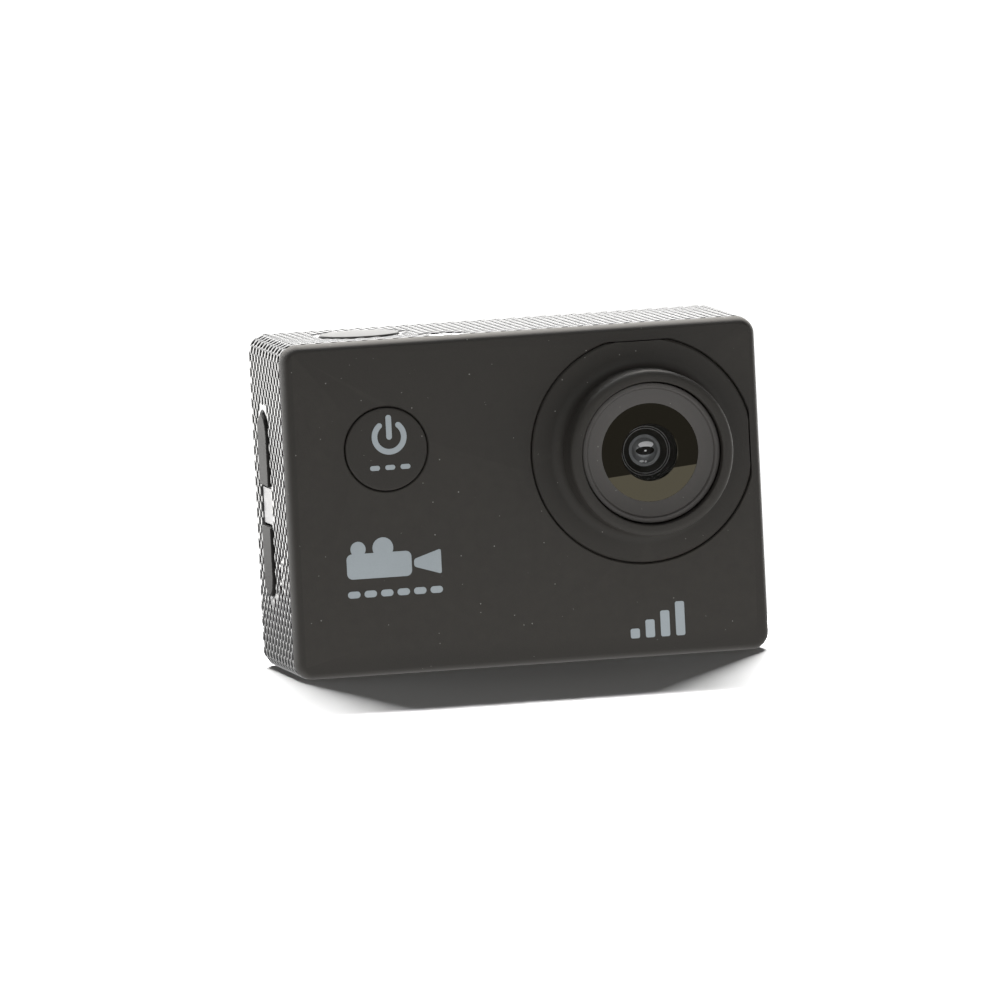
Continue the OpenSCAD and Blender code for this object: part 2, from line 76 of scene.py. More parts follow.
coverLow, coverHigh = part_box("front_cover")
bandLow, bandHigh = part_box("side_band")
faceY = coverLow.y
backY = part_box("rear_cover")[1].y
bodyX = (coverLow.x + coverHigh.x) / 2
lens = middle("lens_cell")
mode = middle("mode_button")
shutter = middle("shutter_button")
keyY = middle("up_button").y


# ---- working by hand, in code
def clearSelection():
    if bpy.context.mode != "OBJECT":
        bpy.ops.object.mode_set(mode="OBJECT")
    bpy.ops.object.select_all(action="DESELECT")


def activate(piece):
    clearSelection()
    piece.select_set(True)
    bpy.context.view_layer.objects.active = piece


def editAll(piece, kind="VERT"):
    activate(piece)
    bpy.ops.object.mode_set(mode="EDIT")
    bpy.ops.mesh.select_mode(type=kind)
    bpy.ops.mesh.select_all(action="SELECT")


def pick(piece, kind, test):
    activate(piece)
    bpy.ops.object.mode_set(mode="EDIT")
    bpy.ops.mesh.select_mode(type=kind)
    bpy.ops.mesh.select_all(action="DESELECT")
    shape = bmesh.from_edit_mesh(piece.data)
    for item in {"VERT": shape.verts, "EDGE": shape.edges, "FACE": shape.faces}[kind]:
        if test(item):
            item.select_set(True)
    shape.select_flush_mode()
    bmesh.update_edit_mesh(piece.data)


def near(a, b, tolerance=0.004 * mm):
    return abs(a - b) < tolerance


def selectMesh():
    bpy.ops.mesh.select_all(action="SELECT")


def faceOutward():
    bpy.ops.mesh.normals_make_consistent(inside=False)


def toObject():
    bpy.ops.object.mode_set(mode="OBJECT")


def bevelEdges(offset, segments):
    bpy.ops.mesh.bevel(offset=offset, segments=segments, affect="EDGES")


def extrude(step):
    bpy.ops.mesh.extrude_region_move(TRANSFORM_OT_translate={"value": step})


def alongY(edge):
    return not near(edge.verts[0].co.y, edge.verts[1].co.y)


def bakePlace(piece):
    activate(piece)
    bpy.ops.object.transform_apply(location=True, rotation=True, scale=True)
    return piece


def addBlock(name, low, high):
    clearSelection()
    low, high = Vector(low), Vector(high)
    bpy.ops.mesh.primitive_cube_add(size=1, location=(low + high) / 2, scale=high - low)
    piece = bpy.context.object
    piece.name = piece.data.name = name
    return bakePlace(piece)


def useModifier(piece, kind, **values):
    activate(piece)
    modifier = piece.modifiers.new(kind, kind)
    for key, value in values.items():
        setattr(modifier, key, value)
    bpy.ops.object.modifier_apply(modifier=modifier.name)


def combine(piece, other, operation):
    useModifier(piece, "BOOLEAN", operation=operation, solver="EXACT", object=other)
    bpy.data.objects.remove(other)


def cutWith(piece, cutter):
    combine(piece, cutter, "DIFFERENCE")


def smooth(piece, degrees=32, weighted=True):
    activate(piece)
    bpy.ops.object.shade_smooth_by_angle(angle=math.radians(degrees))
    if weighted:
        useModifier(piece, "WEIGHTED_NORMAL", keep_sharp=True, weight=60)


# a profile of (radius, height) points, drawn point by point and spun about its axis
def addTurned(name, profile, centre, axis, steps=128):
    clearSelection()
    bpy.ops.mesh.primitive_plane_add(size=0.1 * mm, location=(profile[0][0], 0, profile[0][1]))
    piece = bpy.context.object
    piece.name = piece.data.name = name
    bakePlace(piece)
    editAll(piece)
    bpy.ops.mesh.merge(type="CENTER")
    at = profile[0]
    onAxis = near(profile[0][0], 0) and near(profile[-1][0], 0)
    for point in profile[1:] + ([] if onAxis else profile[:1]):
        step = (point[0] - at[0], 0, point[1] - at[1])
        bpy.ops.mesh.extrude_vertices_move(TRANSFORM_OT_translate={"value": step})
        at = point
    selectMesh()
    bpy.ops.mesh.remove_doubles(threshold=0.0005 * mm)
    selectMesh()
    bpy.ops.mesh.spin(steps=steps, angle=full, center=(0, 0, 0), axis=(0, 0, 1))
    selectMesh()
    bpy.ops.mesh.remove_doubles(threshold=0.001 * mm)
    faceOutward()
    toObject()
    piece.rotation_mode = "QUATERNION"
    piece.rotation_quaternion = Vector(axis).to_track_quat("Z", "Y")
    piece.location = centre
    return bakePlace(piece)


def join(name, pieces):
    clearSelection()
    for piece in pieces:
        piece.select_set(True)
    bpy.context.view_layer.objects.active = pieces[0]
    if len(pieces) > 1:
        bpy.ops.object.join()
    pieces[0].name = pieces[0].data.name = name
    return pieces[0]


# a piece turned about the lens, with heights measured out from the face
def addLensTurned(name, profile, steps=96):
    return addTurned(name, profile, onFace(lens), (0, -1, 0), steps)


# a pocket's cutter: a rounded outline that widens by the flare at the surface
def addPocket(name, centre, outward, along, size, corner, depth, flare=0.0):
    clearSelection()
    bpy.ops.mesh.primitive_plane_add(size=1, location=(0, 0, 1 * mm))
    piece = bpy.context.object
    piece.name = piece.data.name = name
    piece.scale = (size[0] + 2 * flare, size[1] + 2 * flare, 1)
    bakePlace(piece)
    editAll(piece)
    radius = min(corner, min(size) / 2) + flare
    bpy.ops.mesh.bevel(offset=radius * 0.999, segments=10, affect="VERTICES")
    extrude((0, 0, -1 * mm))
    if flare:
        extrude((0, 0, -flare))
        bpy.ops.transform.resize(value=(size[0] / (size[0] + 2 * flare), size[1] / (size[1] + 2 * flare), 1))
    extrude((0, 0, flare - depth))
    selectMesh()
    faceOutward()
    toObject()
    up, side = Vector(outward), Vector(along)
    piece.matrix_world = Matrix.Translation(centre) @ Matrix((side.cross(up), side, up)).transposed().to_4x4()
    return bakePlace(piece)


def arc(cx, cy, r, start, end, steps=8):
    turns = [math.radians(start + (end - start) * i / steps) for i in range(steps + 1)]
    return [(cx + r * math.cos(a), cy + r * math.sin(a)) for a in turns]


def place(piece, body, slot, material, *nodes):
    activate(piece)
    piece.data.materials.clear()
    piece.data.materials.append(material)
    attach(piece, body)
    if nodes:
        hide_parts(*nodes)
    return piece


# ---- shared effects
midGrey = (0.5, 0.5, 0.5, 1)


def startGroup(name, inputs, outputs):
    group = bpy.data.node_groups.new(name, "ShaderNodeTree")
    for label, kind, value in inputs:
        socket = group.interface.new_socket(label, in_out="INPUT", socket_type=kind)
        socket.default_value = value
    for label, kind in outputs:
        group.interface.new_socket(label, in_out="OUTPUT", socket_type=kind)
    add = group.nodes.new
    return group, add("NodeGroupInput"), add("NodeGroupOutput")


def addNode(tree, kind, **values):
    node = tree.nodes.new(kind)
    for key, value in values.items():
        setattr(node, key, value)
    return node


def mathNode(tree, operation, a, b):
    node = addNode(tree, "ShaderNodeMath", operation=operation)
    for index, value in enumerate((a, b)):
        if isinstance(value, (int, float)):
            node.inputs[index].default_value = value
        else:
            tree.links.new(value, node.inputs[index])
    return node.outputs[0]


def mixColours(tree, factor, a, b):
    node = addNode(tree, "ShaderNodeMix", data_type="RGBA")
    for index, value in ((0, factor), (6, a), (7, b)):
        if isinstance(value, (int, float, tuple)):
            node.inputs[index].default_value = value
        else:
            tree.links.new(value, node.inputs[index])
    return node.outputs[2]


def makeGrain():
    group, start, end = startGroup(
        "surfaceGrain",
        [("Color", "NodeSocketColor", midGrey), ("Grain Size", "NodeSocketFloat", 0.2),
         ("Tone Change", "NodeSocketFloat", 0.1), ("Roughness", "NodeSocketFloat", 0.5),
         ("Roughness Change", "NodeSocketFloat", 0.1)],
        [("Color", "NodeSocketColor"), ("Roughness", "NodeSocketFloat"), ("Height", "NodeSocketFloat")],
    )
    link = group.links.new
    where = addNode(group, "ShaderNodeTexCoord").outputs["Object"]
    scale = mathNode(group, "DIVIDE", 1000, start.outputs["Grain Size"])
    fine = addNode(group, "ShaderNodeTexNoise")
    fine.inputs["Detail"].default_value = 3
    link(where, fine.inputs["Vector"])
    link(scale, fine.inputs["Scale"])
    broad = addNode(group, "ShaderNodeTexNoise")
    broad.inputs["Scale"].default_value = 90
    broad.inputs["Detail"].default_value = 4
    link(where, broad.inputs["Vector"])
    both = mathNode(group, "ADD", fine.outputs["Fac"], broad.outputs["Fac"])
    shift = mathNode(group, "SUBTRACT", both, 1)
    tone = mathNode(group, "ADD", mathNode(group, "MULTIPLY", shift, start.outputs["Tone Change"]), 1)
    scaled = addNode(group, "ShaderNodeVectorMath", operation="SCALE")
    link(start.outputs["Color"], scaled.inputs[0])
    link(tone, scaled.inputs["Scale"])
    link(scaled.outputs[0], end.inputs["Color"])
    spread = mathNode(group, "MULTIPLY", shift, start.outputs["Roughness Change"])
    link(mathNode(group, "ADD", spread, start.outputs["Roughness"]), end.inputs["Roughness"])
    link(fine.outputs["Fac"], end.inputs["Height"])
    return group


def makeDust():
    group, start, end = startGroup(
        "dustSpecks",
        [("Color", "NodeSocketColor", midGrey), ("Dust Color", "NodeSocketColor", (0.4, 0.4, 0.38, 1)),
         ("Spacing", "NodeSocketFloat", 2.0), ("Speck Size", "NodeSocketFloat", 0.05)],
        [("Color", "NodeSocketColor"), ("Mask", "NodeSocketFloat")],
    )
    link = group.links.new
    where = addNode(group, "ShaderNodeTexCoord").outputs["Object"]
    scale = mathNode(group, "DIVIDE", 1000, start.outputs["Spacing"])
    cells = addNode(group, "ShaderNodeTexVoronoi")
    cells.inputs["Randomness"].default_value = 1
    link(where, cells.inputs["Vector"])
    link(scale, cells.inputs["Scale"])
    lottery = addNode(group, "ShaderNodeSeparateColor")
    link(cells.outputs["Color"], lottery.inputs[0])
    # a speck's radius changes from cell to cell, and most cells have none
    share = mathNode(group, "DIVIDE", start.outputs["Speck Size"], start.outputs["Spacing"])
    reach = mathNode(group, "MULTIPLY", share, mathNode(group, "POWER", lottery.outputs[0], 2))
    inside = mathNode(group, "LESS_THAN", cells.outputs["Distance"], reach)
    faint = mathNode(group, "MULTIPLY", inside, lottery.outputs[1])
    link(mixColours(group, faint, start.outputs["Color"], start.outputs["Dust Color"]), end.inputs["Color"])
    link(faint, end.inputs["Mask"])
    return group


def makeWear():
    group, start, end = startGroup(
        "edgeWear",
        [("Color", "NodeSocketColor", midGrey), ("Worn Color", "NodeSocketColor", (0.6, 0.6, 0.6, 1)),
         ("Amount", "NodeSocketFloat", 0.3)],
        [("Color", "NodeSocketColor"), ("Mask", "NodeSocketFloat")],
    )
    link = group.links.new
    where = addNode(group, "ShaderNodeTexCoord").outputs["Object"]
    bend = addNode(group, "ShaderNodeNewGeometry").outputs["Pointiness"]
    edge = addNode(group, "ShaderNodeMapRange")
    edge.inputs["From Min"].default_value = 0.51
    edge.inputs["From Max"].default_value = 0.58
    link(bend, edge.inputs["Value"])
    patches = addNode(group, "ShaderNodeTexNoise")
    patches.inputs["Scale"].default_value = 700
    patches.inputs["Detail"].default_value = 5
    link(where, patches.inputs["Vector"])
    mask = mathNode(group, "MULTIPLY", edge.outputs[0], patches.outputs["Fac"])
    mask = mathNode(group, "MULTIPLY", mask, start.outputs["Amount"])
    link(mixColours(group, mask, start.outputs["Color"], start.outputs["Worn Color"]), end.inputs["Color"])
    link(mask, end.inputs["Mask"])
    return group


groups = {"grain": makeGrain(), "dust": makeDust(), "wear": makeWear()}


def finish(colour, rough, grain, tone, vary, bump, **others):
    return dict(colour=colour, rough=rough, grain=grain, tone=tone, vary=vary, bump=bump, **others)


# colour, roughness, grain in mm, tone change, roughness change, bump in mm, then the shader's own sockets
finishes = {
    "softBlack": finish((0.032, 0.029, 0.025), 0.6, 0.16, 0.3, 0.12, 0.014,
                        dust=True, wear=0.25, specular=0.36),
    "wovenGloss": finish((0.012, 0.012, 0.012), 0.17, 0.5, 0.3, 0.1, 0.002, ior=1.6),
    "hoodGrey": finish((0.072, 0.067, 0.063), 0.5, 0.1, 0.2, 0.1, 0.008, dust=True, wear=0.2),
    "lensBlack": finish((0.006, 0.005, 0.004), 0.55, 0.1, 0.2, 0.1, 0.004, specular=0.15),
    # painted reflection: near-black for the dark reflection of the room and camera in the lens dome
    "pupilBlack": finish((0.004, 0.003, 0.003), 0.2, 0.5, 0.1, 0.02, 0.0, specular=0.1),
    # painted highlight: white for patches on the lens dome that stand in for reflections of lamps
    "glintWhite": finish((0.95, 0.96, 0.98), 0.35, 0.3, 0.05, 0.05, 0.0),
    "keySatin": finish((0.03, 0.029, 0.028), 0.5, 0.12, 0.12, 0.1, 0.006, wear=0.3, specular=0.06),
    "capSatin": finish((0.055, 0.054, 0.052), 0.5, 0.12, 0.12, 0.1, 0.006, wear=0.3, specular=0.2),
    "bridgeGloss": finish((0.3, 0.3, 0.31), 0.3, 0.4, 0.05, 0.06, 0.001, specular=0.12),
    "ink": finish((0.4, 0.45, 0.48), 0.55, 0.08, 0.25, 0.1, 0.003),
    "screenGloss": finish((0.012, 0.012, 0.013), 0.06, 0.8, 0.2, 0.04, 0.0, coat=0.6),
    "panelBlack": finish((0.012, 0.014, 0.018), 0.25, 0.3, 0.2, 0.05, 0.001),
    "doorBlack": finish((0.045, 0.043, 0.04), 0.5, 0.14, 0.2, 0.12, 0.01, wear=0.35),
    "chassisBlack": finish((0.035, 0.035, 0.035), 0.55, 0.15, 0.2, 0.1, 0.008),
    "chipBlack": finish((0.03, 0.03, 0.032), 0.5, 0.08, 0.2, 0.1, 0.006),
    "boardGreen": finish((0.02, 0.14, 0.07), 0.35, 0.3, 0.25, 0.1, 0.004),
    "flexAmber": finish((0.55, 0.3, 0.08), 0.35, 0.3, 0.15, 0.1, 0.002),
    "padGrey": finish((0.4, 0.44, 0.5), 0.8, 0.2, 0.1, 0.1, 0.01),
    "spreaderMetal": finish((0.75, 0.75, 0.76), 0.35, 0.1, 0.1, 0.15, 0.002, metal=1),
    "tinnedSteel": finish((0.68, 0.68, 0.66), 0.3, 0.15, 0.12, 0.12, 0.002, metal=1),
    "screwSteel": finish((0.6, 0.6, 0.6), 0.3, 0.12, 0.12, 0.1, 0.002, metal=1),
    "portMetal": finish((0.62, 0.62, 0.61), 0.28, 0.15, 0.12, 0.12, 0.002, metal=1),
    "contactGold": finish((0.8, 0.6, 0.25), 0.25, 0.15, 0.1, 0.1, 0.001, metal=1),
    "socketMetal": finish((0.78, 0.68, 0.45), 0.28, 0.12, 0.12, 0.12, 0.003, metal=1),
    "batteryWrap": finish((0.05, 0.12, 0.3), 0.4, 0.5, 0.15, 0.1, 0.004),
    "lightWhite": finish((0.85, 0.85, 0.82), 0.4, 0.2, 0.05, 0.1, 0.002),
    "lightPipe": finish((0.6, 0.62, 0.64), 0.2, 0.4, 0.1, 0.08, 0.001),
    "windowGlass": finish((0.9, 0.88, 0.82), 0.0, 1.0, 0.02, 0.0, 0.0, glass=1.0, tint=(1, 0.9, 0.63)),
    "ringSatin": finish((0.2, 0.2, 0.2), 0.3, 0.15, 0.1, 0.1, 0.002, metal=0.6),
    "clearGlass": finish((0.05, 0.05, 0.04), 0.0, 1.0, 0.1, 0.0, 0.0, alpha=0.06),
    "maskGloss": finish((0.004, 0.0035, 0.003), 0.0, 1.0, 0.1, 0.0, 0.0, ior=1.8, tint=(1, 0.9, 0.63)),
    "coatedDome": finish((0.24, 0.25, 0.26), 0.06, 0.5, 0.1, 0.02, 0.0, metal=0.3),
    "coatedGlass": finish((0.75, 0.8, 0.86), 0.0, 1.0, 0.02, 0.0, 0.0, glass=1.0, ior=1.6),
}


def makeMaterial(name, spec):
    material = bpy.data.materials.new(name)
    material.use_nodes = True
    tree = material.node_tree
    link = tree.links.new
    shader = tree.nodes["Principled BSDF"]
    colour = (*spec["colour"], 1)
    grain = addNode(tree, "ShaderNodeGroup", node_tree=groups["grain"])
    grain.inputs["Color"].default_value = colour
    grain.inputs["Grain Size"].default_value = spec["grain"]
    grain.inputs["Tone Change"].default_value = spec["tone"]
    grain.inputs["Roughness"].default_value = spec["rough"]
    grain.inputs["Roughness Change"].default_value = spec["vary"]
    tint = grain.outputs["Color"]
    if spec.get("wear"):
        wear = addNode(tree, "ShaderNodeGroup", node_tree=groups["wear"])
        wear.inputs["Amount"].default_value = spec["wear"]
        wear.inputs["Worn Color"].default_value = tuple(min(1, 2.2 * c) for c in spec["colour"]) + (1,)
        link(tint, wear.inputs["Color"])
        tint = wear.outputs["Color"]
    if spec.get("dust"):
        dust = addNode(tree, "ShaderNodeGroup", node_tree=groups["dust"])
        dust.inputs["Spacing"].default_value = 1.05
        dust.inputs["Speck Size"].default_value = 0.09
        dust.inputs["Dust Color"].default_value = (0.3, 0.29, 0.27, 1)
        link(tint, dust.inputs["Color"])
        tint = dust.outputs["Color"]
    link(tint, shader.inputs["Base Color"])
    link(grain.outputs["Roughness"], shader.inputs["Roughness"])
    shader.inputs["Metallic"].default_value = spec.get("metal", 0)
    shader.inputs["IOR"].default_value = spec.get("ior", 1.5)
    shader.inputs["Coat Weight"].default_value = spec.get("coat", 0)
    shader.inputs["Coat Roughness"].default_value = 0.03
    shader.inputs["Transmission Weight"].default_value = spec.get("glass", 0)
    shader.inputs["Specular IOR Level"].default_value = spec.get("specular", 0.5)
    shader.inputs["Alpha"].default_value = spec.get("alpha", 1)
    shader.inputs["Specular Tint"].default_value = (*spec.get("tint", (1, 1, 1)), 1)
    if spec["bump"]:
        bump = addNode(tree, "ShaderNodeBump")
        bump.inputs["Strength"].default_value = 1
        bump.inputs["Distance"].default_value = spec["bump"] * mm
        link(grain.outputs["Height"], bump.inputs["Height"])
        link(bump.outputs["Normal"], shader.inputs["Normal"])
    return material


paint = {name: makeMaterial(name, spec) for name, spec in finishes.items()}
print("materials ready:", len(paint))


def camelCase(words):
    first, *rest = words.split("_")
    return first + "".join(word.capitalize() for word in rest)


for row in frame["record"]["subparts"]:
    node = frame["nodes"][row["node"]]
    node.data.materials.clear()
    node.data.materials.append(paint[camelCase(row["material_slot"])])

# ---- stage: pale floor, a strip of light behind and above, a dim room in front
stageSpec = {
    "floorColour": (0.47, 0.47, 0.47, 1),
    "floorGlow": 1.0,
    "floorFront": 0.211,
    "floorDepth": 0.215,
    "floorTurn": -39,
    "lightAzimuth": 10.5,
    "lightElevation": 42.3,
    "lightDistance": 1.6,
    "lightSize": (0.88, 0.08),
    "lightPower": 250,
    "frontAbove": 1.4,
    "frontBelow": 0.15,
    "behindLow": 3.6,
    "zenith": 0.05,
    "catchPower": 3,
    "sheenPower": 52,
}
cameraSpec = {"azimuth": -11.47, "elevation": 5.19, "roll": 2.85, "distance": 2.5, "focalLength": 735.435,
              "aim": (-3.28 * mm, faceY, 20.63 * mm)}


def pointing(azimuth, elevation):
    a, e = math.radians(azimuth), math.radians(elevation)
    return Vector((math.sin(a) * math.cos(e), -math.cos(a) * math.cos(e), math.sin(e)))


def mapRange(tree, value, low, high, start, end):
    node = addNode(tree, "ShaderNodeMapRange", interpolation_type="SMOOTHSTEP")
    for label, number in (("From Min", low), ("From Max", high), ("To Min", start), ("To Max", end)):
        node.inputs[label].default_value = number
    tree.links.new(value, node.inputs["Value"])
    return node.outputs[0]


def mixNumbers(tree, factor, a, b):
    node = addNode(tree, "ShaderNodeMix", data_type="FLOAT")
    for index, value in ((0, factor), (2, a), (3, b)):
        if isinstance(value, (int, float)):
            node.inputs[index].default_value = value
        else:
            tree.links.new(value, node.inputs[index])
    return node.outputs[0]


def makeFloor(spec):
    clearSelection()
    bpy.ops.mesh.primitive_plane_add(size=1)
    floor = bpy.context.object
    floor.name = "pale_floor"
    floor.scale = (4, spec["floorDepth"], 1)
    floor.location = (0, spec["floorDepth"] / 2, 0)
    bakePlace(floor)
    floor.rotation_euler.z = math.radians(spec["floorTurn"])
    floor.location = (0, -spec["floorFront"], 0)
    bakePlace(floor)
    paper = bpy.data.materials.new("paleFloor")
    paper.use_nodes = True
    shader = paper.node_tree.nodes["Principled BSDF"]
    shader.inputs["Base Color"].default_value = spec["floorColour"]
    shader.inputs["Roughness"].default_value = 0.8
    shader.inputs["Specular IOR Level"].default_value = 0
    floor.data.materials.append(paper)
    floor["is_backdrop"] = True
    # the object sees an even pale floor, only the camera sees the shadow
    tree = paper.node_tree
    glow = addNode(tree, "ShaderNodeEmission")
    glow.inputs["Strength"].default_value = spec["floorGlow"]
    mix = addNode(tree, "ShaderNodeMixShader")
    tree.links.new(addNode(tree, "ShaderNodeLightPath").outputs["Is Camera Ray"], mix.inputs[0])
    tree.links.new(glow.outputs[0], mix.inputs[1])
    tree.links.new(shader.outputs[0], mix.inputs[2])
    # nothing is seen from underneath, so the base can be looked at
    through = addNode(tree, "ShaderNodeMixShader")
    tree.links.new(addNode(tree, "ShaderNodeNewGeometry").outputs["Backfacing"], through.inputs[0])
    tree.links.new(mix.outputs[0], through.inputs[1])
    tree.links.new(addNode(tree, "ShaderNodeBsdfTransparent").outputs[0], through.inputs[2])
    tree.links.new(through.outputs[0], tree.nodes["Material Output"].inputs["Surface"])


def addLamp(name, towards, distance, size, power):
    clearSelection()
    bpy.ops.object.light_add(type="AREA", location=towards * distance)
    lamp = bpy.context.object
    lamp.name = name
    lamp.data.shape = "RECTANGLE"
    lamp.data.size, lamp.data.size_y = size
    lamp.data.energy = power
    lamp.rotation_mode = "QUATERNION"
    lamp.rotation_quaternion = towards.to_track_quat("Z", "Y")
    return lamp


def makeRoom(spec):
    world = bpy.data.worlds.new("room")
    bpy.context.scene.world = world
    world.use_nodes = True
    tree = world.node_tree
    link = tree.links.new
    where = addNode(tree, "ShaderNodeTexCoord")
    split = addNode(tree, "ShaderNodeSeparateXYZ")
    link(where.outputs["Generated"], split.inputs[0])
    across, height = split.outputs["Y"], split.outputs["Z"]
    front = mapRange(tree, height, -0.03, 0.03, spec["frontBelow"], spec["frontAbove"])
    behind = mapRange(tree, across, 0.1, 0.75, 0, 1)
    level = mixNumbers(tree, behind, front, spec["behindLow"])
    high = mapRange(tree, height, 0.16, 0.4, 0, 1)
    level = mixNumbers(tree, high, level, spec["zenith"])
    seen = addNode(tree, "ShaderNodeLightPath")
    white = addNode(tree, "ShaderNodeBackground")
    white.inputs["Strength"].default_value = 1.2
    white.inputs["Color"].default_value = (1, 1, 1, 1)
    room = tree.nodes["Background"]
    room.inputs["Color"].default_value = (1, 0.99, 0.97, 1)
    link(level, room.inputs["Strength"])
    mix = addNode(tree, "ShaderNodeMixShader")
    link(seen.outputs["Is Camera Ray"], mix.inputs[0])
    link(room.outputs[0], mix.inputs[1])
    link(white.outputs[0], mix.inputs[2])
    link(mix.outputs[0], tree.nodes["World Output"].inputs["Surface"])


def makeCamera(spec):
    clearSelection()
    back = pointing(spec["azimuth"], spec["elevation"])
    bpy.ops.object.camera_add(location=Vector(spec["aim"]) + back * spec["distance"])
    camera = bpy.context.object
    camera.name = "view"
    level = (-back).to_track_quat("-Z", "Y").to_matrix()
    camera.rotation_mode = "QUATERNION"
    rolled = level @ Matrix.Rotation(math.radians(-spec["roll"]), 3, "Z")
    camera.rotation_quaternion = rolled.to_quaternion()
    camera.data.sensor_width = 36
    camera.data.lens = spec["focalLength"]
    camera.data.clip_start, camera.data.clip_end = 0.05, 20
    bpy.context.scene.camera = camera


makeFloor(stageSpec)
strip = addLamp("strip_light", pointing(180 - stageSpec["lightAzimuth"], stageSpec["lightElevation"]),
                stageSpec["lightDistance"], stageSpec["lightSize"], stageSpec["lightPower"])
strip.visible_glossy = False
catch = addLamp("catch_light", pointing(-12, 56), 1.2, (0.8, 0.2), stageSpec["catchPower"])
catch.visible_diffuse = False
sheen = addLamp("sheen_light", pointing(180, 50), 1.7, (2.2, 1.6), stageSpec["sheenPower"])
sheen.visible_diffuse = False
makeRoom(stageSpec)
makeCamera(cameraSpec)
bpy.context.scene.view_settings.view_transform = "Standard"
print("stage and camera ready")

coverSpec = {"corner": 2.2 * mm, "wall": 1.6 * mm, "seamEdge": 0.1 * mm, "land": 0.3 * mm, "slope": 0.86 * mm}
capSpec = {"flange": 0.8 * mm, "gap": 0.13 * mm, "edge": 0.22 * mm, "mouth": 0.14 * mm}
plinthSpec = {"gap": 0.13 * mm, "chamfer": 0.2 * mm, "flare": 1.4 * mm, "rim": 0.85 * mm, "depth": 1.2 * mm,
              "ledge": 12.55 * mm, "barrel": 10.2 * mm, "bore": 8.78 * mm}


# ---- covers: a rounded plate, hollow behind
def addCover(name, node, outer, seam, corner):
    low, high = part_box(node)
    spec = coverSpec
    rise = math.copysign(abs(seam - outer) - spec["land"], outer - seam)
    land = outer - rise
    piece = addBlock(name, (low.x, min(land, seam), low.z), (high.x, max(land, seam), high.z))
    pick(piece, "EDGE", alongY)
    bevelEdges(corner, 16)
    pick(piece, "FACE", lambda f: all(near(v.co.y, land) for v in f.verts))
    turns = [math.radians(angle) for angle in (0, 20, 38, 52, 63, 72, 79, 85, 90)]
    for before, after in zip(turns, turns[1:]):
        bpy.ops.mesh.inset(thickness=spec["slope"] * (math.cos(before) - math.cos(after)))
        bpy.ops.transform.translate(value=(0, rise * (math.sin(after) - math.sin(before)), 0))
    bpy.ops.mesh.inset(thickness=0.2 * mm)
    pick(piece, "EDGE", lambda e: all(near(v.co.y, seam) for v in e.verts))
    bevelEdges(spec["seamEdge"], 3)
    if abs(seam - outer) > spec["wall"] + spec["seamEdge"]:
        pick(piece, "FACE", lambda f: all(near(v.co.y, seam) for v in f.verts))
        bpy.ops.mesh.inset(thickness=spec["wall"])
        inward = math.copysign(abs(seam - outer) - spec["wall"], outer - seam)
        extrude((0, inward, 0))
    toObject()
    return piece


# a round cutter whose mouth flares at the surface, and may narrow to a ledge below it
def addRoundCutter(name, centre, outward, radius, flare, ledge=0.0, ledgeDepth=1.2 * mm, depth=4 * mm):
    profile = [(0, 1 * mm), (radius + flare, 1 * mm), (radius + flare, 0), (radius, -flare)]
    if ledge:
        profile += [(radius, -ledgeDepth), (ledge, -ledgeDepth), (ledge, -depth)]
    else:
        profile += [(radius, -depth)]
    return addTurned(name, profile + [(0, -depth)], centre, outward, steps=96)


def cutPocket(piece, *shape):
    cutWith(piece, addPocket("cutter", *shape))


def cutRound(piece, *shape, **others):
    cutWith(piece, addRoundCutter("cutter", *shape, **others))


# cuts a round piece flat beside the top and the lens side of the body
def trimFlats(piece, reach):
    for normal in ((1, 0, 0), (0, 0, 1)):
        editAll(piece)
        at = (lens.x + reach, 0, lens.z + reach)
        bpy.ops.mesh.bisect(plane_co=at, plane_no=normal, use_fill=True, clear_outer=True)
    toObject()


def onFace(point):
    return Vector((point.x, faceY, point.z))


plinthLow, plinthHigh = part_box("lens_plinth")
plinthRadius = lens.x - plinthLow.x
plinthFlat = plinthHigh.x - lens.x
capLow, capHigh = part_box("mode_button")
modeRadius = (capHigh.x - capLow.x) / 2 - capSpec["flange"]

frontCover = addCover("face_shell", "front_cover", faceY, bandLow.y, coverSpec["corner"])
cutRound(frontCover, onFace(mode), (0, -1, 0), modeRadius + capSpec["gap"], capSpec["mouth"])
opening = addRoundCutter("plinth_cutter", onFace(lens), (0, -1, 0), plinthRadius + plinthSpec["gap"],
                         capSpec["mouth"], plinthSpec["ledge"])
trimFlats(opening, plinthFlat + plinthSpec["gap"])
cutWith(frontCover, opening)
smooth(frontCover)
place(frontCover, root, "soft_black", paint["softBlack"], "front_cover")
print("front cover made")

# ---- rear cover with the screen's recess
glassLow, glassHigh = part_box("screen_window")
pipeLow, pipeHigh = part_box("rear_light_pipes")
screenSpec = {"gap": 0.1 * mm, "corner": 1.5 * mm, "edge": 0.12 * mm, "thick": 0.9 * mm, "lip": 3.5 * mm}

rearCover = addCover("back_shell", "rear_cover", backY, bandHigh.y, coverSpec["corner"] - 0.35 * mm)
glassMiddle = (glassLow + glassHigh) / 2
glassGap, lip = 2 * screenSpec["gap"], screenSpec["lip"]
glassSize = (glassHigh.x - glassLow.x + glassGap, glassHigh.z - glassLow.z + glassGap)
backCentre = Vector((glassMiddle.x, backY, glassMiddle.z))
cutPocket(rearCover, backCentre, (0, 1, 0), (0, 0, 1), glassSize, screenSpec["corner"], screenSpec["thick"],
          0.1 * mm)
viewSize = (glassSize[0] - 2 * lip, glassSize[1] - lip)
cutPocket(rearCover, backCentre, (0, 1, 0), (0, 0, 1), viewSize, 0.8 * mm, 3 * mm)
for z in (pipeLow.z + 0.75 * mm, pipeHigh.z - 0.75 * mm):
    at = Vector(((pipeLow.x + pipeHigh.x) / 2, backY, z))
    cutRound(rearCover, at, (0, 1, 0), 0.85 * mm, 0.08 * mm)
smooth(rearCover)
place(rearCover, root, "soft_black", paint["softBlack"], "rear_cover")

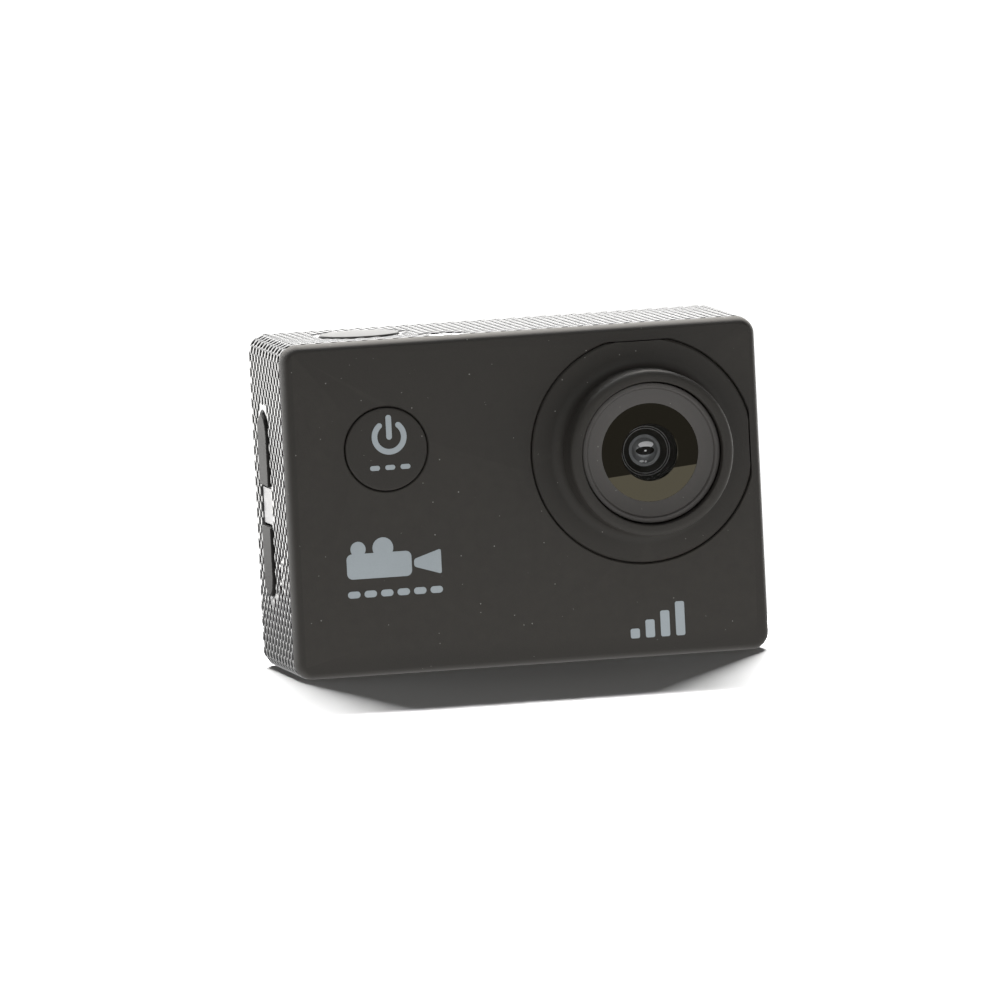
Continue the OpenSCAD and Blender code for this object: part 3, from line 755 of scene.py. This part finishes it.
screenGlass = addBlock("screen_glass", glassLow, glassHigh)
pick(screenGlass, "EDGE", alongY)
bevelEdges(screenSpec["corner"], 10)
pick(screenGlass, "EDGE", lambda e: all(near(v.co.y, glassHigh.y) for v in e.verts))
bevelEdges(screenSpec["edge"], 3)
toObject()
smooth(screenGlass)
place(screenGlass, root, "screen_gloss", paint["screenGloss"], "screen_window")
print("rear cover and screen made")

# ---- side band: a ring with its openings
bandSpec = {
    "corner": 2.1 * mm, "wall": 1.6 * mm, "seamEdge": 0.07 * mm, "keyGap": 0.15 * mm, "soundRadius": 0.4 * mm,
    "recessWidth": 6 * mm, "recessLength": 23.2 * mm, "recessDepth": 0.4 * mm, "recessFlare": 0.22 * mm,
    "pipeSlot": (2 * mm, 4.8 * mm),
}
leftX, rightX = bandLow.x, bandHigh.x
topZ, baseZ = bandHigh.z, bandLow.z
shutterRadius = shutter.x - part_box("shutter_button")[0].x - 0.7 * mm
pipe = middle("top_light_pipe")
upLow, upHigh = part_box("up_button")
downLow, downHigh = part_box("down_button")
sound = middle("speaker")
doorLow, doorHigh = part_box("battery_door")
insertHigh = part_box("tripod_insert")[1]
insert = middle("tripod_insert")
recessMiddle = (upHigh.z + downLow.z) / 2
keySpec = {"edge": 0.2 * mm, "foot": 0.6 * mm, "short": 0.5 * mm}


def soundPlaces():
    step = 1.1 * mm
    centre = Vector((leftX, sound.y - 1.2 * mm, sound.z))
    for row in range(-2, 3):
        for column in (0, 1):
            if row + column < 3:
                yield centre + Vector((0, step * (column - 0.5), step * (row + column / 2)))


def makeBand(spec):
    piece = addBlock("woven_band", (leftX, bandLow.y, baseZ), (rightX, bandHigh.y, topZ))
    pick(piece, "EDGE", alongY)
    bevelEdges(spec["corner"], 16)
    pick(piece, "EDGE", lambda e: not alongY(e))
    bevelEdges(spec["seamEdge"], 2)
    wall = Vector((spec["wall"], -5 * mm, spec["wall"]))
    core = addBlock("core_cutter", bandLow + wall, bandHigh - wall)
    cutWith(piece, core)
    left, right, up, down = (-1, 0, 0), (1, 0, 0), (0, 0, 1), (0, 0, -1)
    cutRound(piece, (shutter.x, shutter.y, topZ), up, shutterRadius + 0.15 * mm, 0.1 * mm)
    recess = (leftX, keyY, recessMiddle)
    size = (spec["recessWidth"], spec["recessLength"])
    cutPocket(piece, recess, left, up, size, 3 * mm, spec["recessDepth"], spec["recessFlare"])
    for low, high, end in ((upLow, upHigh, 1), (downLow, downHigh, -1)):
        width = high.y - low.y - 2 * keySpec["foot"] + 2 * spec["keyGap"]
        length = high.z - low.z - 2 * keySpec["foot"] - keySpec["short"] + 2 * spec["keyGap"]
        centre = Vector((leftX, keyY, (low.z + high.z - end * keySpec["short"]) / 2))
        cutPocket(piece, centre, left, up, (width, length), width / 2, 3 * mm)
        square = (width, length - width / 2)
        shift = Vector((0, 0, -end * width / 4))
        cutPocket(piece, centre + shift, left, up, square, 0.05 * mm, 3.1 * mm)
    holes = [addRoundCutter("sound_cutter", at, left, spec["soundRadius"], 0.1 * mm) for at in soundPlaces()]
    for hole in holes:
        cutWith(piece, hole)
    for node, margin in (("usb_socket", 0.25), ("video_socket", 0.25)):
        low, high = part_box(node)
        at = (rightX, (low.y + high.y) / 2, (low.z + high.z) / 2)
        size = (high.y - low.y + 2 * margin * mm, high.z - low.z + 2 * margin * mm)
        cutPocket(piece, at, right, up, size, 0.5 * mm, 3 * mm, 0.15 * mm)
    card = middle("card_slot")
    cutPocket(piece, (rightX, card.y, card.z), right, up, (1.3 * mm, 11.6 * mm), 0.3 * mm, 3 * mm, 0.15 * mm)
    mic = middle("microphone")
    cutRound(piece, (rightX, mic.y, mic.z), right, 0.5 * mm, 0.12 * mm)
    cutPocket(piece, (pipe.x, pipe.y, topZ), up, (1, 0, 0), spec["pipeSlot"], 1 * mm, 3 * mm, 0.08 * mm)
    doorMiddle = (doorLow + doorHigh) / 2
    size = (doorHigh.y - doorLow.y + 0.3 * mm, doorHigh.x - doorLow.x + 0.5 * mm)
    cutPocket(piece, (doorMiddle.x, doorMiddle.y, baseZ), down, (1, 0, 0), size, 0.4 * mm, 3 * mm)
    boss = addBlock("socket_boss", (insert.x - 5 * mm, insert.y - 5 * mm, baseZ + 1 * mm),
                    (insert.x + 5 * mm, insert.y + 5 * mm, insertHigh.z + 0.9 * mm))
    pick(boss, "EDGE", lambda e: not near(e.verts[0].co.z, e.verts[1].co.z))
    bevelEdges(3 * mm, 6)
    combine(piece, boss, "UNION")
    socketRadius = insertHigh.x - insert.x + 0.02 * mm
    cutRound(piece, (insert.x, insert.y, baseZ), down, socketRadius, 0.1 * mm, depth=insertHigh.z - baseZ)
    smooth(piece)
    return place(piece, root, "woven_gloss", paint["wovenGloss"], "side_band")


makeBand(bandSpec)
print("side band made")

# ---- woven surface: pillows laid out flat, then wrapped around the band
weaveSpec = {
    "rowsAround": 102, "halfColumns": 21, "halfLength": 0.76 * mm, "halfWidth": 0.58 * mm,
    "height": 0.15 * mm, "sunk": 0.03 * mm, "lean": 15, "margin": 0.42 * mm,
    "clearCap": 5.4 * mm, "clearInsert": 4.5 * mm, "clearKeys": (3.1 * mm, 12.0 * mm),
    "clearDoor": 0.9 * mm,  # the door swings past its own opening
}


def alongBand(distance, lift):
    r = bandSpec["corner"]
    halfWide, halfTall = (rightX - leftX) / 2 - r, (topZ - baseZ) / 2 - r
    middleX, middleZ = (leftX + rightX) / 2, (topZ + baseZ) / 2
    corners = [(halfWide, -halfTall), (halfWide, halfTall), (-halfWide, halfTall), (-halfWide, -halfTall)]
    quarter = math.pi * r / 2
    for side in range(4):
        turn = side * math.pi / 2
        straight = 2 * (halfWide if side % 2 else halfTall)
        if distance <= straight:
            x, z = corners[side]
            x += (r + lift) * math.cos(turn) - distance * math.sin(turn)
            z += (r + lift) * math.sin(turn) + distance * math.cos(turn)
            return middleX + x, middleZ + z
        distance -= straight
        if distance <= quarter or side == 3:
            x, z = corners[(side + 1) % 4]
            turn += distance / r
            return middleX + x + (r + lift) * math.cos(turn), middleZ + z + (r + lift) * math.sin(turn)
        distance -= quarter


def isOpen(point, margin):
    x, y, z = point

    def inBox(a, b, low, high):
        return low[0] - margin < a < high[0] + margin and low[1] - margin < b < high[1] + margin

    def inPill(a, b, halfWide, halfLong):
        b = max(0, abs(b) - (halfLong - halfWide))
        return math.hypot(a, b) < halfWide + margin

    def isRound(a, b, radius):
        return inPill(a, b, radius, radius)

    if z > topZ - 1 * mm:
        slot = (side / 2 for side in bandSpec["pipeSlot"])
        return isRound(x - shutter.x, y - shutter.y, weaveSpec["clearCap"]) or inPill(y - pipe.y, x - pipe.x, *slot)
    if z < baseZ + 1 * mm:
        doorStart = (doorLow.x - weaveSpec["clearDoor"], doorLow.y - 0.2 * mm)
        door = inBox(x, y, doorStart, (doorHigh.x, doorHigh.y + 0.2 * mm))
        return door or isRound(x - insert.x, y - insert.y, weaveSpec["clearInsert"])
    if x < leftX + 1 * mm:
        keys = inPill(y - keyY, z - recessMiddle, *weaveSpec["clearKeys"])
        clear = bandSpec["soundRadius"] + 0.15 * mm
        return keys or any(math.hypot(y - at.y, z - at.z) < clear for at in soundPlaces())
    for node in ("usb_socket", "video_socket", "card_slot", "microphone"):
        low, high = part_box(node)
        spare = -1.2 * mm if node == "microphone" else 0.1 * mm
        if inBox(y, z, (low.y - spare, low.z - spare), (high.y + spare, high.z + spare)):
            return True
    return False


def makeWeave(spec):
    reach = bandSpec["corner"]
    around = 2 * ((rightX - leftX) + (topZ - baseZ) - 4 * reach) + full * reach
    period, column = around / spec["rowsAround"], (bandHigh.y - bandLow.y) / spec["halfColumns"]
    clearSelection()
    start = (0, 0, -spec["sunk"])
    bpy.ops.mesh.primitive_circle_add(vertices=10, radius=1 * mm, fill_type="NGON", location=start)
    pillow = bpy.context.object
    pillow.scale = (spec["halfLength"] / mm, spec["halfWidth"] / mm, 1)
    bakePlace(pillow)
    editAll(pillow, "FACE")
    rise = spec["sunk"] + spec["height"]
    for share, scale in ((0.68, 0.86), (0.25, 0.62), (0.07, 0.45)):
        extrude((0, 0, rise * share))
        bpy.ops.transform.resize(value=(scale, scale, 1))
    pick(pillow, "FACE", lambda f: all(near(v.co.z, -spec["sunk"]) for v in f.verts))
    bpy.ops.mesh.delete(type="ONLY_FACE")
    selectMesh()
    bpy.ops.transform.rotate(value=math.radians(spec["lean"]), orient_axis="Z", center_override=(0, 0, 0))
    faceOutward()
    toObject()
    size = len(pillow.data.vertices)
    clearSelection()
    pillow.select_set(True)
    bpy.context.view_layer.objects.active = pillow
    bpy.ops.object.duplicate()
    other = bpy.context.object
    other.location = (period / 2, column, 0)
    bakePlace(other)
    for piece, count in ((pillow, spec["halfColumns"] // 2 + 1), (other, spec["halfColumns"] // 2)):
        for number, offset in ((spec["rowsAround"], (period, 0, 0)), (count, (0, 2 * column, 0))):
            useModifier(piece, "ARRAY", count=number, use_relative_offset=False, use_constant_offset=True,
                        constant_offset_displace=offset)
    weave = join("band_weave", [pillow, other])

    def wrapped(point):
        distance = (point.x + period / 4) % around
        x, z = alongBand(distance, point.z)
        return Vector((x, bandLow.y + column / 2 + point.y, max(z, 0.02 * mm)))  # flat under the base

    points = [wrapped(v.co) for v in weave.data.vertices]
    blocked = []
    for start in range(0, len(points), size):
        centre = sum(points[start:start + size], Vector()) / size
        blocked.append(isOpen(centre, spec["margin"]))
    for vertex, point in zip(weave.data.vertices, points):
        vertex.co = point
    pick(weave, "VERT", lambda v: blocked[v.index // size])
    bpy.ops.mesh.delete(type="VERT")
    toObject()
    activate(weave)
    bpy.ops.object.shade_smooth()
    return place(weave, root, "woven_gloss", paint["wovenGloss"])


makeWeave(weaveSpec)
print("weave made")


# ---- lens plinth with its flared barrel
def plinthProfile(spec):
    rim, flare, chamfer, bore, barrel = (spec[key] for key in ("rim", "flare", "chamfer", "bore", "barrel"))
    top = faceY - plinthLow.y - rim
    return (
        [(bore, -spec["depth"]), (plinthRadius, -spec["depth"]), (plinthRadius, -chamfer)]
        + [(plinthRadius - chamfer, 0)]
        + arc(barrel + flare, flare, flare, 270, 180, 12)
        + arc(barrel - rim, top, rim, 0, 90, 10)
        + arc(bore + 0.25 * mm, top + rim - 0.25 * mm, 0.25 * mm, 90, 180, 6)
    )


plinth = addLensTurned("lens_surround", plinthProfile(plinthSpec), 160)
trimFlats(plinth, plinthFlat)
smooth(plinth)
place(plinth, root, "soft_black", paint["softBlack"], "lens_plinth")

# ---- hood: a conical dish inside the barrel, with a small land at its edge
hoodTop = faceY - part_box("lens_hood")[0].y
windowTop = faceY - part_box("lens_window")[0].y
hoodSpec = {"radius": 8.6 * mm, "seat": 6.25 * mm, "inner": 6.05 * mm, "back": -2.6 * mm}


def hoodProfile(spec):
    radius, seat, inner, back = (spec[key] for key in ("radius", "seat", "inner", "back"))
    return [
        (seat, back), (seat, windowTop), (inner, windowTop), (inner, windowTop + 0.08 * mm),
        (7.84 * mm, hoodTop - 0.36 * mm), (7.92 * mm, hoodTop - 0.22 * mm), (8.0 * mm, hoodTop - 0.08 * mm),
        (8.12 * mm, hoodTop), (8.4 * mm, hoodTop), (8.54 * mm, hoodTop - 0.05 * mm),
        (radius, hoodTop - 0.16 * mm), (radius, back),
    ]


hood = addLensTurned("lens_dish", hoodProfile(hoodSpec), 160)
smooth(hood, 25)
place(hood, root, "hood_grey", paint["hoodGrey"], "lens_hood")

# ---- the window's black mask ring, glossy with an olive tint
maskSpec = {"hole": 3.5 * mm, "radius": 6.2 * mm, "flat": 6.04 * mm, "thick": 0.9 * mm, "discSunk": 0.06 * mm}
maskHole, maskTop = maskSpec["hole"], windowTop + 0.02 * mm
maskBack = maskTop - maskSpec["thick"]
mask = addLensTurned("window_mask", [
    (maskHole, maskBack), (maskSpec["radius"], maskBack), (maskSpec["radius"], maskTop - 0.04 * mm),
    (maskSpec["flat"], maskTop), (maskHole + 0.03 * mm, maskTop), (maskHole, maskTop - 0.03 * mm),
], 128)
smooth(mask, 5)
place(mask, root, "window_glass", paint["maskGloss"], "lens_window")
discRadius, discTop, discBack = maskHole - 0.02 * mm, maskTop - maskSpec["discSunk"], maskTop - 0.8 * mm
discProfile = [(0, discBack), (discRadius, discBack), (discRadius, discTop), (0, discTop)]
clear = addLensTurned("window_disc", discProfile)
smooth(clear, 25)
place(clear, root, "window_glass", paint["clearGlass"])

# ---- what shows behind the glass: a ringed black cone and the front element's dome
opticSpec = {"ring": 2.98 * mm, "dome": 1.96 * mm, "domeCurve": 2.5 * mm, "coneMouth": 5.8 * mm,
             "patch": 1.6 * mm}
glassBack = windowTop - 0.95 * mm
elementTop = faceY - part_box("front_element")[0].y


def conePoints(spec):
    steps = 9
    mouth, ring, end = spec["coneMouth"], spec["ring"] + 0.14 * mm, elementTop + 0.12 * mm
    points = []
    for i in range(steps):
        r = mouth + (ring - mouth) * i / steps
        z = glassBack - 0.05 * mm + (end - glassBack) * i / steps
        points += [(r, z), (r, z - 0.08 * mm)]  # fine baffle steps
    return points + [(ring, end)]


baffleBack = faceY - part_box("lens_baffle")[1].y
baffleEnd = [(opticSpec["ring"] + 0.1 * mm, baffleBack), (opticSpec["coneMouth"], baffleBack)]
baffle = addLensTurned("stepped_baffle", conePoints(opticSpec) + baffleEnd)
smooth(baffle, 20)
place(baffle, root, "lens_black", paint["lensBlack"], "lens_baffle")

ring = opticSpec["ring"]


def addRing(name, radius, top):
    profile = arc(radius, top - 0.06 * mm, 0.06 * mm, -90, 270, 12)[:-1]
    piece = addLensTurned(name, profile)
    smooth(piece, 60)
    return place(piece, root, "chip_black", paint["ringSatin"])


holder = addLensTurned("element_holder", [
    (2.0 * mm, 0.2 * mm), (ring + 0.1 * mm, 0.2 * mm), (ring + 0.1 * mm, elementTop),
    (ring - 0.3 * mm, elementTop - 0.02 * mm), (2.0 * mm, elementTop - 0.5 * mm),
])
smooth(holder, 25)
place(holder, root, "lens_black", paint["lensBlack"])
addRing("outer_ring", ring + 0.04 * mm, elementTop + 0.14 * mm)
addRing("inner_ring", ring - 0.22 * mm, elementTop + 0.06 * mm)


def domeProfile(spec):
    curve, radius = spec["domeCurve"], spec["dome"]
    edge = math.degrees(math.asin(radius / curve))
    base = elementTop - 0.02 * mm - curve
    return [(0, 0.9 * mm), (radius, 0.9 * mm)] + arc(0, base, curve, 90 - edge, 90, 12)


dome = addLensTurned("front_dome", domeProfile(opticSpec))
smooth(dome, 40)
place(dome, root, "coated_glass", paint["coatedDome"], "front_element")


# a patch that lies on the dome, cut to an oval; these patches carry painted highlights and a painted dark
# reflection
def addPatch(name, lift, wide, tall, right=0.0, up=0.0):
    curve, reach = opticSpec["domeCurve"], opticSpec["patch"]
    base = elementTop - 0.02 * mm - curve
    edge = 90 - math.degrees(math.asin(reach / curve))
    back = base + curve - 0.8 * mm
    patch = addLensTurned(name, [(0, back), (reach, back)] + arc(0, base, curve + lift, edge, 90, 10), 64)
    clearSelection()
    bpy.ops.mesh.primitive_cylinder_add(vertices=48, radius=1, depth=6 * mm, rotation=(math.pi / 2, 0, 0))
    oval = bpy.context.object
    bakePlace(oval)
    oval.scale = (wide, 1, tall)
    oval.location = onFace(lens) + Vector((right, 0, up))
    bakePlace(oval)
    combine(patch, oval, "INTERSECT")
    smooth(patch, 40)
    return patch


# painted highlights: white patches where lamps would shine on the front dome
# name, lift, half width, half height, to the right, up, material
for name, lift, wide, tall, right, up, look in (
    ("upper_glint", 0.006, 0.95, 0.4, 0.15, 0.72, "glintWhite"),
    # painted reflection: a dark oval where the dome would mirror the dark room and camera
    ("lens_pupil", 0.012, 1.15, 0.52, 0, 0, "pupilBlack"),
    ("pupil_glint", 0.022, 0.16, 0.1, 0, 0, "glintWhite"),
    ("lower_glint", 0.006, 0.28, 0.14, -0.45, -1.3, "glintWhite"),
    ("small_glint", 0.006, 0.12, 0.12, 0.05, -1.35, "glintWhite"),
):
    patch = addPatch(name, lift * mm, wide * mm, tall * mm, right * mm, up * mm)
    place(patch, root, "coated_glass", paint[look])
print("lens made")


# ---- round caps: the mode button on the face and the shutter on top
def capProfile(radius, top, bottom, crown, edge):
    shares = (0.85, 0.7, 0.55, 0.4, 0.25, 0.1, 0)
    face = [((radius - edge) * share, top - crown * share ** 2) for share in shares]
    below = bottom + 0.7 * mm
    return (
        [(0, bottom), (radius + 0.7 * mm, bottom), (radius + 0.7 * mm, below), (radius, below)]
        + arc(radius - edge, top - crown - edge, edge, 0, 90, 6)
        + face
    )


modeTop, modeBottom = faceY - capLow.y, faceY - capHigh.y
modeCap = addTurned("mode_cap", capProfile(modeRadius, modeTop, modeBottom, 0.0, capSpec["edge"]),
                    onFace(mode), (0, -1, 0), steps=96)
smooth(modeCap)
place(modeCap, "mode_button", "soft_black", paint["softBlack"], "mode_button")

shutterLow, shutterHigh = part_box("shutter_button")
shutterProfile = capProfile(shutterRadius, shutterHigh.z - topZ, shutterLow.z - topZ, 0.1 * mm, 0.16 * mm)
shutterCap = addTurned("shutter_cap", shutterProfile, (shutter.x, shutter.y, topZ), (0, 0, 1), steps=96)
smooth(shutterCap)
place(shutterCap, "shutter_button", "key_satin", paint["capSatin"], "shutter_button")


# ---- side keys: round at the far end, square at the near one
def makeKey(node, name, end):
    low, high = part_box(node)
    spare = keySpec["foot"]
    radius = (high.y - low.y) / 2 - spare
    tip, square = high.z - spare - keySpec["short"], low.z + spare
    if end < 0:
        tip, square = low.z + spare + keySpec["short"], high.z - spare
    lowCorner = (low.x, low.y + spare, min(tip, square))
    cap = addBlock(name, lowCorner, (high.x - 0.55 * mm, high.y - spare, max(tip, square)))
    pick(cap, "EDGE", lambda e: all(near(v.co.z, tip) for v in e.verts) and not alongY(e))
    bevelEdges(radius * 0.999, 14)
    pick(cap, "EDGE", lambda e: all(near(v.co.z, square) for v in e.verts) and not alongY(e))
    bevelEdges(0.25 * mm, 4)
    pick(cap, "EDGE", lambda e: all(near(v.co.x, low.x) for v in e.verts))
    bevelEdges(keySpec["edge"], 5)
    toObject()
    foot = addBlock("foot", (high.x - 0.6 * mm, low.y, low.z), high)
    pick(foot, "EDGE", lambda e: not alongY(e) and near(e.verts[0].co.z, e.verts[1].co.z))
    bevelEdges(0.5 * mm, 4)
    toObject()
    key = join(name, [cap, foot])
    smooth(key)
    return place(key, node, "key_satin", paint["keySatin"], node)


makeKey("up_button", "up_key", 1)
makeKey("down_button", "down_key", -1)
print("buttons made")

# ---- printed marks, plain shapes a little proud of the surface
inkSpec = {"lift": 0.025 * mm, "sunk": 0.02 * mm}


def addBar(x0, z0, x1, z1, corner, turn=0.0):
    high = Vector((abs(x1 - x0), inkSpec["lift"] + inkSpec["sunk"], abs(z1 - z0)))
    bar = addBlock("bar", -high / 2, high / 2)
    pick(bar, "EDGE", alongY)
    bevelEdges(min(corner, min(high.x, high.z) * 0.499), 6)
    toObject()
    bar.rotation_euler.y = math.radians(turn)
    bar.location = ((x0 + x1) / 2, 0, (z0 + z1) / 2)
    return bakePlace(bar)


def addBow(x, z, radius, width, start, end):
    half = (inkSpec["lift"] + inkSpec["sunk"]) / 2
    clearSelection()
    bpy.ops.mesh.primitive_plane_add(size=1)
    bow = bpy.context.object
    bow.scale = (width, 2 * half, 1)
    bakePlace(bow)
    bow.location = (radius, 0, 0)
    bakePlace(bow)
    bow.rotation_euler.y = -math.radians(start)
    bakePlace(bow)
    editAll(bow)
    bpy.ops.mesh.spin(steps=40, angle=math.radians(end - start), center=(0, 0, 0), axis=(0, 1, 0))
    selectMesh()
    bpy.ops.mesh.remove_doubles(threshold=0.001 * mm)
    faceOutward()
    toObject()
    bow.location = (x, 0, z)
    bakePlace(bow)
    parts = [bow]
    for angle in (start, end):
        a = math.radians(angle)
        px, pz = x + radius * math.cos(a), z + radius * math.sin(a)
        parts.append(addBar(px - width / 2, pz - width / 2, px + width / 2, pz + width / 2, width / 2))
    return unite(parts)


def unite(parts):
    for part in parts[1:]:
        combine(parts[0], part, "UNION")
    return parts[0]


def printOn(name, parts, centre, body, surface):
    mark = join(name, parts)
    mark.location = (centre[0], surface + (inkSpec["sunk"] - inkSpec["lift"]) / 2, centre[1])
    bakePlace(mark)
    return place(mark, body, None, paint["ink"])


def makePowerMark():
    w = 0.7 * mm
    parts = [addBow(0, 0, 1.83 * mm, w, 130, 410), addBar(-w / 2, -0.35 * mm, w / 2, 2.7 * mm, w / 2)]
    printOn("power_mark", parts, (mode.x + 0.4 * mm, mode.z + 1.5 * mm), "mode_button", capLow.y)
    dots = [addBar((x - 0.62) * mm, -0.3 * mm, (x + 0.62) * mm, 0.3 * mm, 0.3 * mm) for x in (-1.9, 0, 1.9)]
    printOn("mode_dots", dots, (mode.x + 0.35 * mm, mode.z - 2.25 * mm), "mode_button", capLow.y)


def addHorn():
    high = Vector((1.7 * mm, (inkSpec["lift"] + inkSpec["sunk"]) / 2, 1.55 * mm))
    horn = addBlock("horn", -high, high)
    pick(horn, "VERT", lambda v: v.co.x < 0)
    bpy.ops.transform.resize(value=(1, 1, 0.3), center_override=(0, 0, 0))
    pick(horn, "EDGE", alongY)
    bevelEdges(0.3 * mm, 5)
    toObject()
    horn.location = (4.2 * mm, 0, -0.35 * mm)
    return bakePlace(horn)


def makeFilmMark():
    parts = [addBar(-5.9 * mm, -1.9 * mm, 2.2 * mm, 1.2 * mm, 0.7 * mm)]
    parts += [addBar(x * mm - r * mm, 1.75 * mm - r * mm, x * mm + r * mm, 1.75 * mm + r * mm, r * mm)
              for x, r in ((-4.4, 0.95), (-1.3, 1.3))]
    parts = [unite(parts), addHorn()]
    printOn("film_mark", parts, (bodyX - 17.0 * mm, 14.0 * mm), root, faceY)
    dashes = [addBar(x * mm - 0.78 * mm, -0.42 * mm, x * mm + 0.78 * mm, 0.42 * mm, 0.42 * mm)
              for x in (-5.15, -3.09, -1.03, 1.03, 3.09, 5.15)]
    printOn("film_dashes", dashes, (bodyX - 17.0 * mm, 10.2 * mm), root, faceY)


def makeSignalMark():
    bars = [addBar(x * mm, 0, (x + 1.15) * mm, h * mm, 0.25 * mm)
            for x, h in ((-3.9, 1.2), (-2.0, 2.2), (-0.1, 3.2), (1.8, 4.2))]
    printOn("signal_mark", bars, (bodyX + 16.0 * mm, 2.5 * mm), root, faceY)


makePowerMark()
makeFilmMark()
makeSignalMark()
print("marks made")


# ---- the sizes, computed but not written, and finish
def writeSizes():
    corners = {"cad": cadBox, "visual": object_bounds()}
    {name: [list(low), list(high)] for name, (low, high) in corners.items()}


writeSizes()
